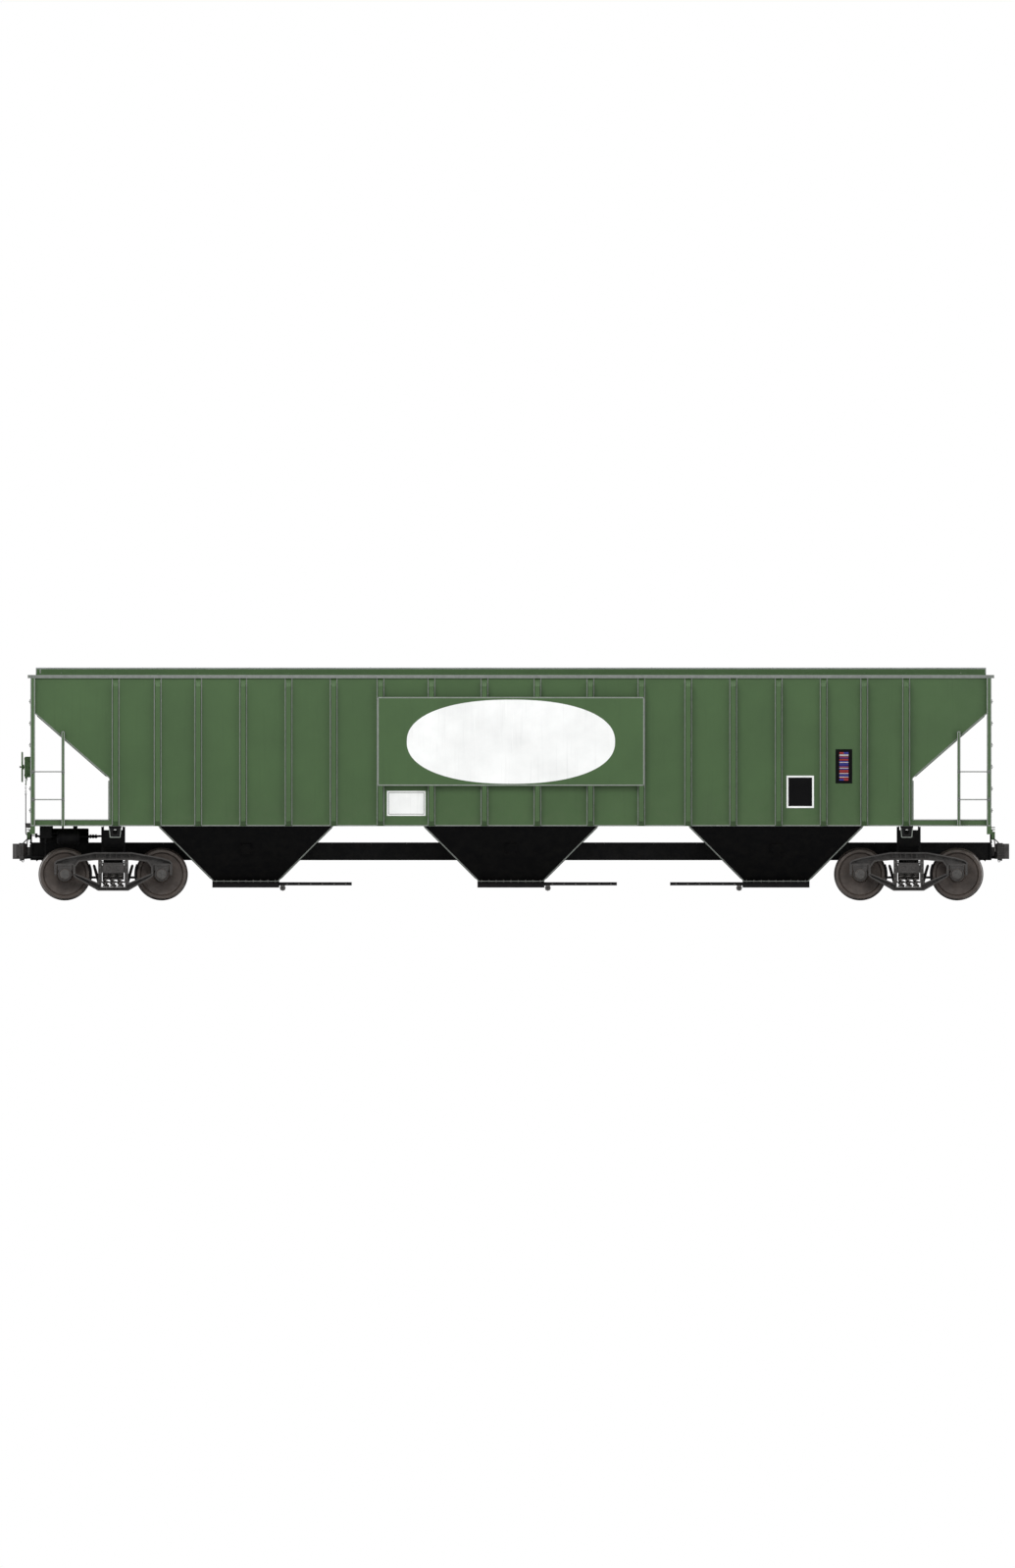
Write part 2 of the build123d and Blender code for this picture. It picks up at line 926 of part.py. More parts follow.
frame_half_length = outlet_half_length + gate_frame_wall
frame_half_width = outlet_half_width + gate_frame_wall
gate_frame_bottom_z = outlet_top_z - gate_frame_depth
plate_top_z = outlet_top_z - gate_drop
plate_bottom_z = plate_top_z - gate_plate
ledge_top_z = plate_bottom_z - seat_gap
rack_root_z = plate_bottom_z - rack_bar
rack_tip_z = rack_root_z - tooth_height
pitch_radius = pinion_teeth * tooth_pitch / (2 * math.pi)
shaft_z = (rack_root_z + rack_tip_z) / 2 - pitch_radius
pinion_tip_radius = rack_root_z - shaft_z - mesh_gap
pinion_root_radius = rack_tip_z - shaft_z - mesh_gap
shaft_x = frame_half_length + pinion_tip_radius + 2 * mesh_gap
plate_rear_x = -outlet_half_length + gate_end_gap
plate_front_x = shaft_x + pinion_tip_radius
rail_end_x = plate_front_x + gate_travel + 2 * gate_frame_wall
rack_teeth = int(gate_travel / tooth_pitch) + 2


def frustum(low, high, z_span):
    """A funnel form between a low and a high rectangle, given by their half sizes."""
    along = [(-low[0], z_span[0]), (low[0], z_span[0]), (high[0], z_span[1]), (-high[0], z_span[1])]
    across = [(-low[1], z_span[0]), (low[1], z_span[0]), (high[1], z_span[1]), (-high[1], z_span[1])]
    return prism_y(along, (-high[1], high[1])) & prism_x(across, (-high[0], high[0]))


def funnel(shrink):
    """The hopper's funnel form, its four slopes moved in by the given wall."""
    slope_y = (hopper_top_half_width - outlet_half_width) / hopper_fall
    step_x = shrink * math.sqrt(1 + hopper_slope**2)
    step_y = shrink * math.sqrt(1 + slope_y**2)
    low = (outlet_half_length - step_x, outlet_half_width - step_y)
    high = (hopper_top_half_length - step_x, hopper_top_half_width - step_y)
    return frustum(low, high, (outlet_top_z, sill_bottom_z))


def centre_sill_envelope():
    """Room that the centre sill takes up where other pieces close round it."""
    reach = (-body_half_length, body_half_length)
    box = block(
        reach,
        (-centre_sill_half_width, centre_sill_half_width),
        (centre_sill_bottom_z, centre_sill_top_z),
    )
    flange_y = centre_sill_half_width + centre_sill_flange
    flange = block(
        reach,
        (-flange_y, flange_y),
        (centre_sill_bottom_z, centre_sill_bottom_z + centre_sill_wall),
    )
    return fuse([box, flange])


def hopper():
    """One hopper's four slopes, let out round the centre sill that runs through it."""
    shell = funnel(0) - [funnel(hopper_wall), centre_sill_envelope()]
    slope_y = (hopper_top_half_width - outlet_half_width) / hopper_fall
    step = hopper_wall * math.sqrt(1 + slope_y**2)
    between = mirrored_line(
        [
            (outlet_half_width - step, outlet_top_z),
            (hopper_top_half_width - step, sill_bottom_z),
        ]
    )
    reach = (-hopper_top_half_length, hopper_top_half_length)
    room = prism_x(between, reach)
    sill_y = (-centre_sill_half_width, centre_sill_half_width)
    under_sill = block(reach, sill_y, (outlet_top_z, sill_bottom_z))
    ends = shell & room
    return [*(shell - room).solids(), *(ends - under_sill).solids(), *(ends & under_sill).solids()]


def sill_hood():
    """Ridge cap inside a hopper that sheds the load off the centre sill."""
    line = [
        (centre_sill_half_width, centre_sill_top_z),
        (0, centre_sill_top_z + hood_rise),
        (-centre_sill_half_width, centre_sill_top_z),
    ]
    plate = bent_plate(list(reversed(line)), hood_wall)
    hood = prism_x(plate, (-hopper_top_half_length, hopper_top_half_length))
    return (hood & funnel(hopper_wall)) - centre_sill_envelope()


def rail(side):
    """One side rail of a gate frame, with the ledge that the gate plate slides on."""
    web = block(
        (frame_half_length - gate_frame_wall, rail_end_x),
        (outlet_half_width, frame_half_width),
        (ledge_top_z - 2 * gate_frame_wall, plate_top_z + 2 * gate_frame_wall),
    )
    ledge = block(
        (-outlet_half_length, rail_end_x),
        (outlet_half_width - gate_ledge, outlet_half_width),
        (ledge_top_z - gate_frame_wall, ledge_top_z),
    )
    bearing_half = shaft_radius + gate_bearing_wall
    bearing = block(
        (shaft_x - bearing_half, shaft_x + bearing_half),
        (frame_half_width, frame_half_width + gate_bearing_wall),
        (shaft_z - bearing_half, plate_top_z + 2 * gate_frame_wall),
    )
    piece = fuse([web, ledge, bearing])
    return piece if side > 0 else flip_y(piece)


def outlet_frame():
    """Frame under a hopper whose gate opens towards plus X."""
    span_z = (gate_frame_bottom_z, outlet_top_z)
    outer = block(
        (-frame_half_length, frame_half_length), (-frame_half_width, frame_half_width), span_z
    )
    mouth = block(
        (-outlet_half_length, outlet_half_length),
        (-outlet_half_width, outlet_half_width),
        span_z,
    )
    tie = block(
        (rail_end_x - gate_frame_wall, rail_end_x),
        (-outlet_half_width, outlet_half_width),
        (ledge_top_z - 2 * gate_frame_wall, ledge_top_z),
    )
    rim = block(
        (-frame_half_length, frame_half_length),
        (-outlet_half_width - gate_rim, outlet_half_width + gate_rim),
        (outlet_top_z - gate_frame_wall, outlet_top_z),
    )
    slot = block(
        (outlet_half_length - gate_frame_wall, frame_half_length + gate_frame_wall),
        (-outlet_half_width + gate_side_gap / 2, outlet_half_width - gate_side_gap / 2),
        (ledge_top_z, plate_top_z + gate_side_gap),
    )
    rack_half = rack_width / 2 + gate_side_gap
    notches = [
        block(
            (outlet_half_length - gate_frame_wall, frame_half_length),
            (way * rack_half_spacing - rack_half, way * rack_half_spacing + rack_half),
            (rack_tip_z - gate_side_gap, plate_bottom_z),
        )
        for way in (-1, 1)
    ]
    bores = rod_y(
        shaft_radius + pin_gap,
        (-shaft_half_length, shaft_half_length),
        shaft_x,
        shaft_z,
    )
    whole = fuse([outer - mouth, rim - mouth, tie, rail(1), rail(-1)])
    return whole - [slot, *notches, bores]


def rack_points():
    """Outline of a rack: its bar and the tapered teeth below it, a gap over the pinion."""
    first = shaft_x - (rack_teeth - 1 - half_share) * tooth_pitch
    last = shaft_x + half_share * tooth_pitch
    points = [(first - tooth_pitch / 2, plate_bottom_z), (first - tooth_pitch / 2, rack_root_z)]
    for index in range(rack_teeth):
        centre = first + index * tooth_pitch
        points += [
            (centre - tooth_root_share * tooth_pitch / 2, rack_root_z),
            (centre - tooth_tip_share * tooth_pitch / 2, rack_tip_z),
            (centre + tooth_tip_share * tooth_pitch / 2, rack_tip_z),
            (centre + tooth_root_share * tooth_pitch / 2, rack_root_z),
        ]
    points += [(last + tooth_pitch / 2, rack_root_z), (last + tooth_pitch / 2, plate_bottom_z)]
    return points


def gate():
    """Gate plate with its two racks, shut, for a hopper whose gate opens towards plus X."""
    half_width = outlet_half_width - gate_side_gap
    plate = block(
        (plate_rear_x, plate_front_x), (-half_width, half_width), (plate_bottom_z, plate_top_z)
    )
    rack = prism_y(
        rack_points(),
        (rack_half_spacing - rack_width / 2, rack_half_spacing + rack_width / 2),
    )
    return fuse([plate, rack, flip_y(rack)])


def pinion_points():
    """Outline of a pinion about its own axis, with one tooth pointing straight up."""
    points = []
    for index in range(pinion_teeth):
        turn = 2 * math.pi * index / pinion_teeth
        for radius, share in (
            (pinion_root_radius, -tooth_root_share),
            (pinion_tip_radius, -tooth_tip_share),
            (pinion_tip_radius, tooth_tip_share),
            (pinion_root_radius, tooth_root_share),
        ):
            aside = share * tooth_pitch / 2
            points.append(
                (
                    shaft_x + radius * math.sin(turn) + aside * math.cos(turn),
                    shaft_z + radius * math.cos(turn) - aside * math.sin(turn),
                )
            )
    return points


def gate_shaft():
    """Operating shaft with two pinions and a square-socketed capstan at each end."""
    shaft = rod_y(shaft_radius, (-shaft_half_length, shaft_half_length), shaft_x, shaft_z)
    pieces = [shaft]
    for way in (-1, 1):
        mid = way * rack_half_spacing
        pieces.append(prism_y(pinion_points(), (mid - pinion_width / 2, mid + pinion_width / 2)))
        ends = sorted((way * (shaft_half_length - capstan_length), way * shaft_half_length))
        pieces.append(rod_y(capstan_radius, ends, shaft_x, shaft_z))
    sockets = [
        block(
            (shaft_x - capstan_square / 2, shaft_x + capstan_square / 2),
            tuple(
                sorted((way * (shaft_half_length - capstan_length / 2), way * shaft_half_length))
            ),
            (shaft_z - capstan_square / 2, shaft_z + capstan_square / 2),
        )
        for way in (-1, 1)
    ]
    return fuse(pieces) - sockets


def placed(shape, name):
    """A piece moved to its own hopper, turned round where the gate opens the other way."""
    turned = shape if gate_ways[name] > 0 else flip_x(shape)
    return Pos(hopper_places[name], 0, 0) * turned


slopes, one_hood, one_frame = hopper(), sill_hood(), outlet_frame()
one_gate, one_shaft = gate(), gate_shaft()
for name, place in hopper_places.items():
    save(f"hopper_{name}", *[Pos(place, 0, 0) * slope for slope in slopes])
    save(f"gate_{name}", placed(one_gate, name))
    save(f"gate_shaft_{name}", placed(one_shaft, name))
hoods = [Pos(place, 0, 0) * one_hood for place in hopper_places.values()]
save("ridges", *both_ends(cross_ridge()), *hoods)
save("outlet_frames", *[placed(one_frame, name) for name in hopper_places])


# Underframe

bolster_bottom_z = centre_sill_bottom_z - bolster_cover
bowl_floor_z = truck_bolster_top_z - bowl_sink
end_sill_bottom_z = sill_bottom_z - end_sill_height
pin_top_z = centre_sill_top_z - centre_sill_wall


def centre_sill():
    """Centre sill from end to end, with its strikers and the pins that hold the couplers."""
    flange_y = centre_sill_half_width + centre_sill_flange
    inner_y = centre_sill_half_width - centre_sill_wall
    half = body_half_length - striker_thickness
    reach = (-half, half)
    lid = block(
        reach, (-centre_sill_half_width, centre_sill_half_width), (pin_top_z, centre_sill_top_z)
    )
    web = block(reach, (inner_y, centre_sill_half_width), (centre_sill_bottom_z, pin_top_z))
    flange = block(
        reach,
        (centre_sill_half_width, flange_y),
        (centre_sill_bottom_z, centre_sill_bottom_z + centre_sill_wall),
    )
    mouth_z = shank_half_height + head_gap / 2
    striker = block(
        (half, body_half_length),
        (-striker_half_width, striker_half_width),
        (centre_sill_bottom_z, end_sill_bottom_z),
    ) - block(
        (half, body_half_length),
        (-inner_y, inner_y),
        (coupler_z - mouth_z, coupler_z + mouth_z),
    )
    carrier = block(
        (coupler_pivot_place - coupler_pin_radius * 3, coupler_pivot_place + coupler_pin_radius * 3),
        (-inner_y, inner_y),
        (centre_sill_bottom_z, centre_sill_bottom_z + centre_sill_wall),
    )
    pin = rod_z(coupler_pin_radius, (centre_sill_bottom_z, pin_top_z), coupler_pivot_place, 0)
    rest = block(
        (half - centre_sill_flange, half),
        (-inner_y, inner_y),
        (coupler_z - mouth_z - centre_sill_wall, coupler_z - shank_half_height - seat_gap),
    )
    ends = [turned for piece in (striker, carrier, pin, rest) for turned in both_ends(piece)]
    return [lid, *both_sides(web), *both_sides(flange), *ends]


def bolster_line(y):
    """Height of the body bolster's lower face at a distance from the middle."""
    if y <= bolster_knee_y:
        return bolster_bottom_z
    if y <= bolster_rise_y:
        share = (y - bolster_knee_y) / (bolster_rise_y - bolster_knee_y)
        return bolster_bottom_z + share * bolster_rise
    low = bolster_bottom_z + bolster_rise
    share = (y - bolster_rise_y) / (hopper_top_half_width - bolster_rise_y)
    return low + share * (sill_bottom_z - bolster_end_drop - low)


def body_bolster():
    """Body bolster over the A truck: two webs and a cover plate, with the centre plate."""
    line = mirrored_line(
        [(y, bolster_line(y)) for y in (bolster_knee_y, bolster_rise_y, hopper_top_half_width)]
    )
    span = (truck_place - bolster_half_length, truck_place + bolster_half_length)
    top = [(hopper_top_half_width, sill_bottom_z), (-hopper_top_half_width, sill_bottom_z)]
    webs = prism_x(line + top, span)
    hollow = prism_x(line + top, (span[0] + bolster_web, span[1] - bolster_web))
    cover = prism_x(bent_plate(line, bolster_cover), span)
    box = fuse([webs - hollow, cover]) - centre_sill_envelope()
    flange = rod_z(
        centre_plate_flange_radius,
        (bolster_bottom_z - centre_plate_flange, bolster_bottom_z),
        truck_place,
        0,
    )
    plate = rod_z(
        centre_plate_radius, (bowl_floor_z + seat_gap, bolster_bottom_z), truck_place, 0
    )
    return fuse([box, flange, plate])


def tow_lug():
    """Towing and jacking lug under the left side sill by the A bolster."""
    lug_y = sheet_inner_y - side_sill_depth / 2
    half = lug_thickness / 2
    side = [
        (lug_place - lug_half_length, sill_bottom_z - lug_pad),
        (lug_place - lug_half_length + lug_pad, sill_bottom_z - lug_height),
        (lug_place + lug_half_length - lug_pad, sill_bottom_z - lug_height),
        (lug_place + lug_half_length, sill_bottom_z - lug_pad),
    ]
    pad = block(
        (lug_place - lug_half_length, lug_place + lug_half_length),
        (hopper_top_half_width, sheet_inner_y),
        (sill_bottom_z - lug_pad, sill_bottom_z),
    )
    hole = rod_y(
        lug_hole_radius, (lug_y - half, lug_y + half), lug_place, sill_bottom_z - lug_height / 2
    )
    return fuse([prism_y(side, (lug_y - half, lug_y + half)), pad]) - hole


# Ladders

rung_y = post_face_y + rung_standoff


def side_ladder():
    """Ladder post and rungs at the left A corner, outside the open end bay."""
    left = ladder_post_place - ladder_post_width / 2
    right = ladder_post_place + ladder_post_width / 2
    outer = block((left, right), (sheet_inner_y, post_face_y), (sill_bottom_z, ladder_post_top_z))
    hollow = block(
        (left + post_wall, right + overrun),
        (sheet_inner_y - overrun, post_face_y - post_wall),
        (sill_bottom_z + post_wall, ladder_post_top_z - post_wall),
    )
    pieces = [outer - hollow - side_sheet()]
    end_x = body_half_length - corner_post_width / 2
    foot = rung_radius * rung_foot_share
    for z in rung_places_z:
        rung = [rod_x(rung_radius, (left, end_x + 2 * rung_radius), rung_y, z)]
        rung += [
            block((x - foot, x + foot), (post_face_y, rung_y), (z - foot, z + foot))
            for x in (ladder_post_place, end_x)
        ]
        pieces.append(fuse(rung))
    return pieces


def end_ladder():
    """Rungs up the outside of the A end, from a stile to the left corner post."""
    stile = block(
        (body_half_length - end_ladder_stile, body_half_length),
        (end_ladder_inner_y - end_ladder_wall, end_ladder_inner_y),
        (sill_bottom_z, eave_z - chord_wall),
    )
    foot = block(
        (body_half_length - end_ladder_wall, body_half_length),
        (end_ladder_inner_y - end_ladder_wall, end_ladder_inner_y + end_ladder_stile),
        (sill_bottom_z, eave_z - chord_wall),
    )
    pieces = [fuse([stile, foot])]
    rung_x = body_half_length + rung_standoff
    inner_y = end_ladder_inner_y + end_ladder_stile / 2
    outer_y = (sheet_inner_y + post_face_y) / 2
    for index in range(end_ladder_count):
        z = rung_places_z[0] + (index - 1 + half_share) * end_ladder_pitch
        span = (inner_y - 2 * rung_radius, outer_y + 2 * rung_radius)
        rung = [rod_y(rung_radius, span, rung_x, z)]
        half = rung_radius * rung_foot_share
        rung += [
            block((body_half_length, rung_x), (y - half, y + half), (z - half, z + half))
            for y in (inner_y, outer_y)
        ]
        pieces.append(fuse(rung))
    return pieces


save("centre_sill", *centre_sill())
save("body_bolsters", *both_ends(body_bolster()))
save("tow_lugs", *four_corners(tow_lug()))
ladder_pieces = [turned for piece in side_ladder() for turned in four_corners(piece)]
for piece in end_ladder():
    ladder_pieces += [flip_y(piece), flip_x(piece)]
save("ladders", *ladder_pieces)


# Trucks. The A truck is drawn about the middle of the track, then moved to its place.

half_base = wheel_base / 2
jaw_roof_z = axle_z + bearing_radius + adapter_height
frame_inner_y = journal_y - side_frame_thickness / 2
frame_outer_y = journal_y + side_frame_thickness / 2
cap_face_y = journal_y + bearing_length / 2 + cap_gap + cap_thickness
seat_start_y = wheel_back_y - hub_overhang
seat_end_y = wheel_back_y + rim_width + hub_overhang
journal_start_y = journal_y - bearing_length / 2
truck_places = {"a": truck_place, "b": -truck_place}
axle_places = {
    "a1": truck_place + half_base,
    "a2": truck_place - half_base,
    "b1": -truck_place - half_base,
    "b2": -truck_place + half_base,
}


def turned_y(points):
    """An outline of (radius, y) points turned about the Y axis, at axle height."""
    return Pos(0, 0, axle_z) * revolve(outline(points), axis=Axis.Y)


def axle():
    """Axle with wheel seats, journals and end caps."""
    half = [
        (axle_radius, seat_start_y - seat_radius),
        (seat_radius, seat_start_y),
        (seat_radius, seat_end_y),
        (axle_radius, seat_end_y + rim_depth / 2),
        (axle_radius, journal_start_y - cap_gap),
        (journal_radius, journal_start_y),
        (journal_radius, cap_face_y - cap_thickness),
        (cap_radius, cap_face_y - cap_thickness),
        (cap_radius, cap_face_y),
        (0, cap_face_y),
    ]
    mirror_half = [(radius, -y) for radius, y in reversed(half)]
    return turned_y(mirror_half + half)


def wheel():
    """Left wheel: flange, tapered tread, rim, dished plate and hub."""
    back = wheel_back_y
    face = wheel_back_y + rim_width
    flange_radius = tread_radius + flange_height
    rim_inner = tread_radius - rim_depth
    plate_out = face - rim_width / 2 + plate_wall
    plate_in = plate_out - plate_dish
    points = [
        (seat_radius, back - hub_overhang),
        (hub_radius, back - hub_overhang),
        (hub_radius + hub_overhang, plate_in - plate_wall),
        (rim_inner - plate_wall, plate_out - plate_wall),
        (rim_inner, back),
        (flange_radius - flange_height / 2, back),
        (flange_radius, back + flange_width / 3),
        (flange_radius, back + flange_width / 2),
        (tread_radius + flange_height / 4, back + flange_width),
        (tread_radius, back + flange_width + flange_height / 2),
        (tread_radius - tread_fall, face - tread_fall),
        (tread_radius - 2 * tread_fall, face),
        (rim_inner, face),
        (rim_inner - plate_wall, plate_out),
        (hub_radius + hub_overhang, plate_in),
        (hub_radius, face + hub_overhang),
        (seat_radius, face + hub_overhang),
    ]
    return turned_y(points)


def frame_profile():
    """Side frame seen from the side, without its windows."""
    leg_z = jaw_roof_z - jaw_leg_drop
    depth = frame_top_z - frame_bottom_z
    inner_x = half_base - jaw_half_width
    outer_x = half_base + jaw_half_width
    spring_x = column_half_gap + column_width
    half = [
        (spring_x, frame_bottom_z),
        (inner_x - jaw_leg, leg_z - jaw_leg),
        (inner_x, leg_z),
        (inner_x, jaw_roof_z),
        (outer_x, jaw_roof_z),
        (outer_x, leg_z),
        (outer_x + jaw_leg, leg_z),
        (outer_x + jaw_leg, jaw_roof_z + jaw_leg),
        (outer_x, jaw_roof_z + 2 * jaw_leg),
        (half_base, frame_top_z - depth * frame_fall_share),
        (spring_x + column_width, frame_top_z),
    ]
    return outline(mirrored_line(half))


def frame_windows():
    """Bolster window and the two three-cornered windows of a side frame."""
    leg_z = jaw_roof_z - jaw_leg_drop
    depth = frame_top_z - frame_bottom_z
    chord = spring_seat_z - frame_bottom_z
    inner_x = half_base - jaw_half_width - jaw_leg
    spring_x = column_half_gap + column_width
    middle_window = [
        (-column_half_gap, spring_seat_z),
        (column_half_gap, spring_seat_z),
        (column_half_gap, window_top_z),
        (-column_half_gap, window_top_z),
    ]
    side_window = [
        (spring_x, spring_seat_z + chord),
        (inner_x, leg_z + chord / 2),
        (inner_x, jaw_roof_z - chord / 2),
        (inner_x - chord, frame_top_z - depth * frame_fall_share - chord),
        (spring_x, window_top_z),
    ]
    other_window = [(-x, z) for x, z in reversed(side_window)]
    return [outline(points) for points in (middle_window, side_window, other_window)]


def side_frame():
    """Cast left side frame: a full rim round a thinner web, open at its three windows."""
    profile = frame_profile()
    profile = fillet(profile.vertices(), frame_fillet)
    windows = frame_windows()
    cast = profile - windows
    pocket = offset(profile, -side_frame_rim, kind=Kind.INTERSECTION) - [
        offset(window, side_frame_rim, kind=Kind.INTERSECTION) for window in windows
    ]
    plane = Plane.XZ.offset(-frame_outer_y)
    body = extrude(plane * cast, amount=side_frame_thickness)
    return body - extrude(plane * pocket, amount=side_frame_pocket)


def bearing(place):
    """Roller bearing cup and its adapter in one jaw of the left side frame."""
    span = (journal_y - bearing_length / 2, journal_y + bearing_length / 2)
    cup = rod_y(bearing_radius, span, place, axle_z)
    adapter = block(
        (place - adapter_half_width, place + adapter_half_width),
        (frame_inner_y, frame_outer_y),
        (axle_z + bearing_radius / 2, jaw_roof_z),
    )
    return fuse([cup, adapter]) - rod_y(journal_radius + pin_gap, span, place, axle_z)


def spring_nest():
    """Springs on the seat of the left side frame."""
    return [
        rod_z(
            spring_radius,
            (spring_seat_z, spring_top_z),
            (index - (spring_count - 1) / 2) * spring_pitch,
            journal_y,
        )
        for index in range(spring_count)
    ]


def truck_bolster():
    """Truck bolster, deep at the middle, with its centre bowl and side bearings."""
    end_y = frame_outer_y + truck_bolster_overhang
    shoulder_y = frame_inner_y - truck_bolster_overhang * 2
    belly_z = spring_top_z - truck_bolster_belly
    line = mirrored_line(
        [(truck_bolster_belly_y, belly_z), (shoulder_y, spring_top_z), (end_y, spring_top_z)]
    )
    top = [(end_y, truck_bolster_top_z), (-end_y, truck_bolster_top_z)]
    half = truck_bolster_half_width
    beam = prism_x(line + top, (-half, half))
    bowl_outer = bowl_inner_radius + bowl_wall
    bowl = rod_z(bowl_outer, (bowl_floor_z - bowl_sink, bowl_floor_z + bowl_depth), 0, 0)
    inside = rod_z(bowl_inner_radius, (bowl_floor_z, truck_bolster_top_z + bowl_depth), 0, 0)
    top_z = bolster_bottom_z - side_bearing_gap
    bearings = [
        block(
            (-side_bearing_half_length, side_bearing_half_length),
            (
                way * side_bearing_y - side_bearing_half_width,
                way * side_bearing_y + side_bearing_half_width,
            ),
            (truck_bolster_top_z, top_z),
        )
        for way in (-1, 1)
    ]
    return fuse([beam, bowl, *bearings]) - inside


def brake_beam():
    """Brake beam of the outer axle, with heads and shoes that stand off the treads."""
    beam_x = column_half_gap + beam_size
    beam_z = axle_z - beam_drop
    half = beam_size / 2
    beam = block(
        (beam_x - half, beam_x + half), (-frame_inner_y, frame_inner_y), (beam_z - half, beam_z + half)
    )
    inner_radius = tread_radius + shoe_gap
    outer_radius = inner_radius + shoe_thickness
    tread_y = wheel_back_y + flange_width + (rim_width - flange_width) / 2
    span = (tread_y - shoe_width / 2, tread_y + shoe_width / 2)
    ring = rod_y(outer_radius, span, half_base, axle_z) - rod_y(inner_radius, span, half_base, axle_z)
    spread = math.tan(math.radians(shoe_half_deg)) * outer_radius
    wedge = prism_y(
        [
            (half_base, axle_z),
            (half_base - outer_radius, axle_z - spread),
            (half_base - outer_radius, axle_z + spread),
        ],
        span,
    )
    shoe = ring & wedge
    head = block(
        (beam_x, half_base - inner_radius - shoe_thickness / 2),
        (tread_y - half, tread_y + half),
        (beam_z - half, beam_z + half),
    )
    tip = beam_x + beam_strut * 2
    truss = prism_z(
        [
            (beam_x, -wheel_back_y + beam_size),
            (tip, -half),
            (tip, half),
            (beam_x, wheel_back_y - beam_size),
            (beam_x, wheel_back_y - 3 * beam_size),
            (tip - beam_size, 0),
            (beam_x, -wheel_back_y + 3 * beam_size),
        ],
        (beam_z - half / 2, beam_z + half / 2),
    )
    strut = block((beam_x, tip), (-half, half), (beam_z - half, beam_z + half))
    return fuse([beam, *both_sides(head), *both_sides(shoe), truss, strut])


one_axle, one_wheel, one_frame_side = axle(), wheel(), side_frame()
for name, place in axle_places.items():
    save(f"axle_{name}", Pos(place, 0, 0) * one_axle)
    save(f"wheels_{name}", *[Pos(place, 0, 0) * turned for turned in both_sides(one_wheel)])
one_bolster, one_beam = truck_bolster(), brake_beam()
bearings = [bearing(way * half_base) for way in (-1, 1)]
for name, place in truck_places.items():
    move = Pos(place, 0, 0)
    save(f"side_frames_{name}", *[move * turned for turned in both_sides(one_frame_side)])
    save(f"truck_bolster_{name}", move * one_bolster)
    save(f"springs_{name}", *[move * turned for coil in spring_nest() for turned in both_sides(coil)])
    save(f"bearings_{name}", *[move * turned for cup in bearings for turned in both_sides(cup)])
    save(f"brake_beams_{name}", *[move * turned for turned in both_ends(one_beam)])


# Couplers. The A coupler points along plus X, and its knuckle is on the car's left.

knuckle_x = coupler_pull_place - knuckle_pivot_back
head_back_x = coupler_pull_place - head_length + head_gap / 2
arm_tip_x = coupler_pull_place + head_gap / 2
nose_back_x = coupler_pull_place - knuckle_nose_depth


def coupler_head():
    """Head outline in plan: knuckle side, throat and guard arm, drawn up and down."""
    points = [
        (head_back_x, -shank_half_width - head_gap / 4),
        (head_back_x + head_gap, -head_half_width + head_gap / 4),
        (nose_back_x, -head_half_width - head_gap / 4),
        (arm_tip_x, -head_half_width),
        (arm_tip_x, -head_half_width + head_gap),
        (nose_back_x, -knuckle_pivot_side - head_gap / 4),
        (knuckle_x - head_gap / 2, -head_gap),
        (knuckle_x - head_gap, knuckle_pivot_side - knuckle_ear_radius),
        (knuckle_x, knuckle_pivot_side - knuckle_ear_radius),
        (knuckle_x, knuckle_pivot_side + knuckle_ear_radius),
        (knuckle_x - head_gap, knuckle_pivot_side + knuckle_ear_radius),
        (head_back_x, shank_half_width + head_gap / 4),
    ]
    span = (coupler_z - head_half_height, coupler_z + head_half_height)
    ear = rod_z(knuckle_ear_radius, span, knuckle_x, knuckle_pivot_side)
    return fuse([prism_z(points, span), ear])


def coupler():
    """A coupler: shank with its pin hole, head with ears for the knuckle, and knuckle pin."""
    span = (coupler_z - shank_half_height, coupler_z + shank_half_height)
    shank = block((coupler_pivot_place, head_back_x), (-shank_half_width, shank_half_width), span)
    butt = rod_z(shank_half_width, span, coupler_pivot_place, 0)
    hole = rod_z(coupler_pin_radius + pin_gap, span, coupler_pivot_place, 0)
    slot_half = knuckle_hub_half_height + knuckle_ear_gap
    slot_span = (coupler_z - slot_half, coupler_z + slot_half)
    slot = rod_z(
        knuckle_ear_radius + knuckle_ear_gap, slot_span, knuckle_x, knuckle_pivot_side
    )
    pin_span = (coupler_z - head_half_height, coupler_z + head_half_height)
    pin = rod_z(knuckle_pin_radius, pin_span, knuckle_x, knuckle_pivot_side)
    return fuse([fuse([shank, butt, coupler_head()]) - [hole, slot], pin])


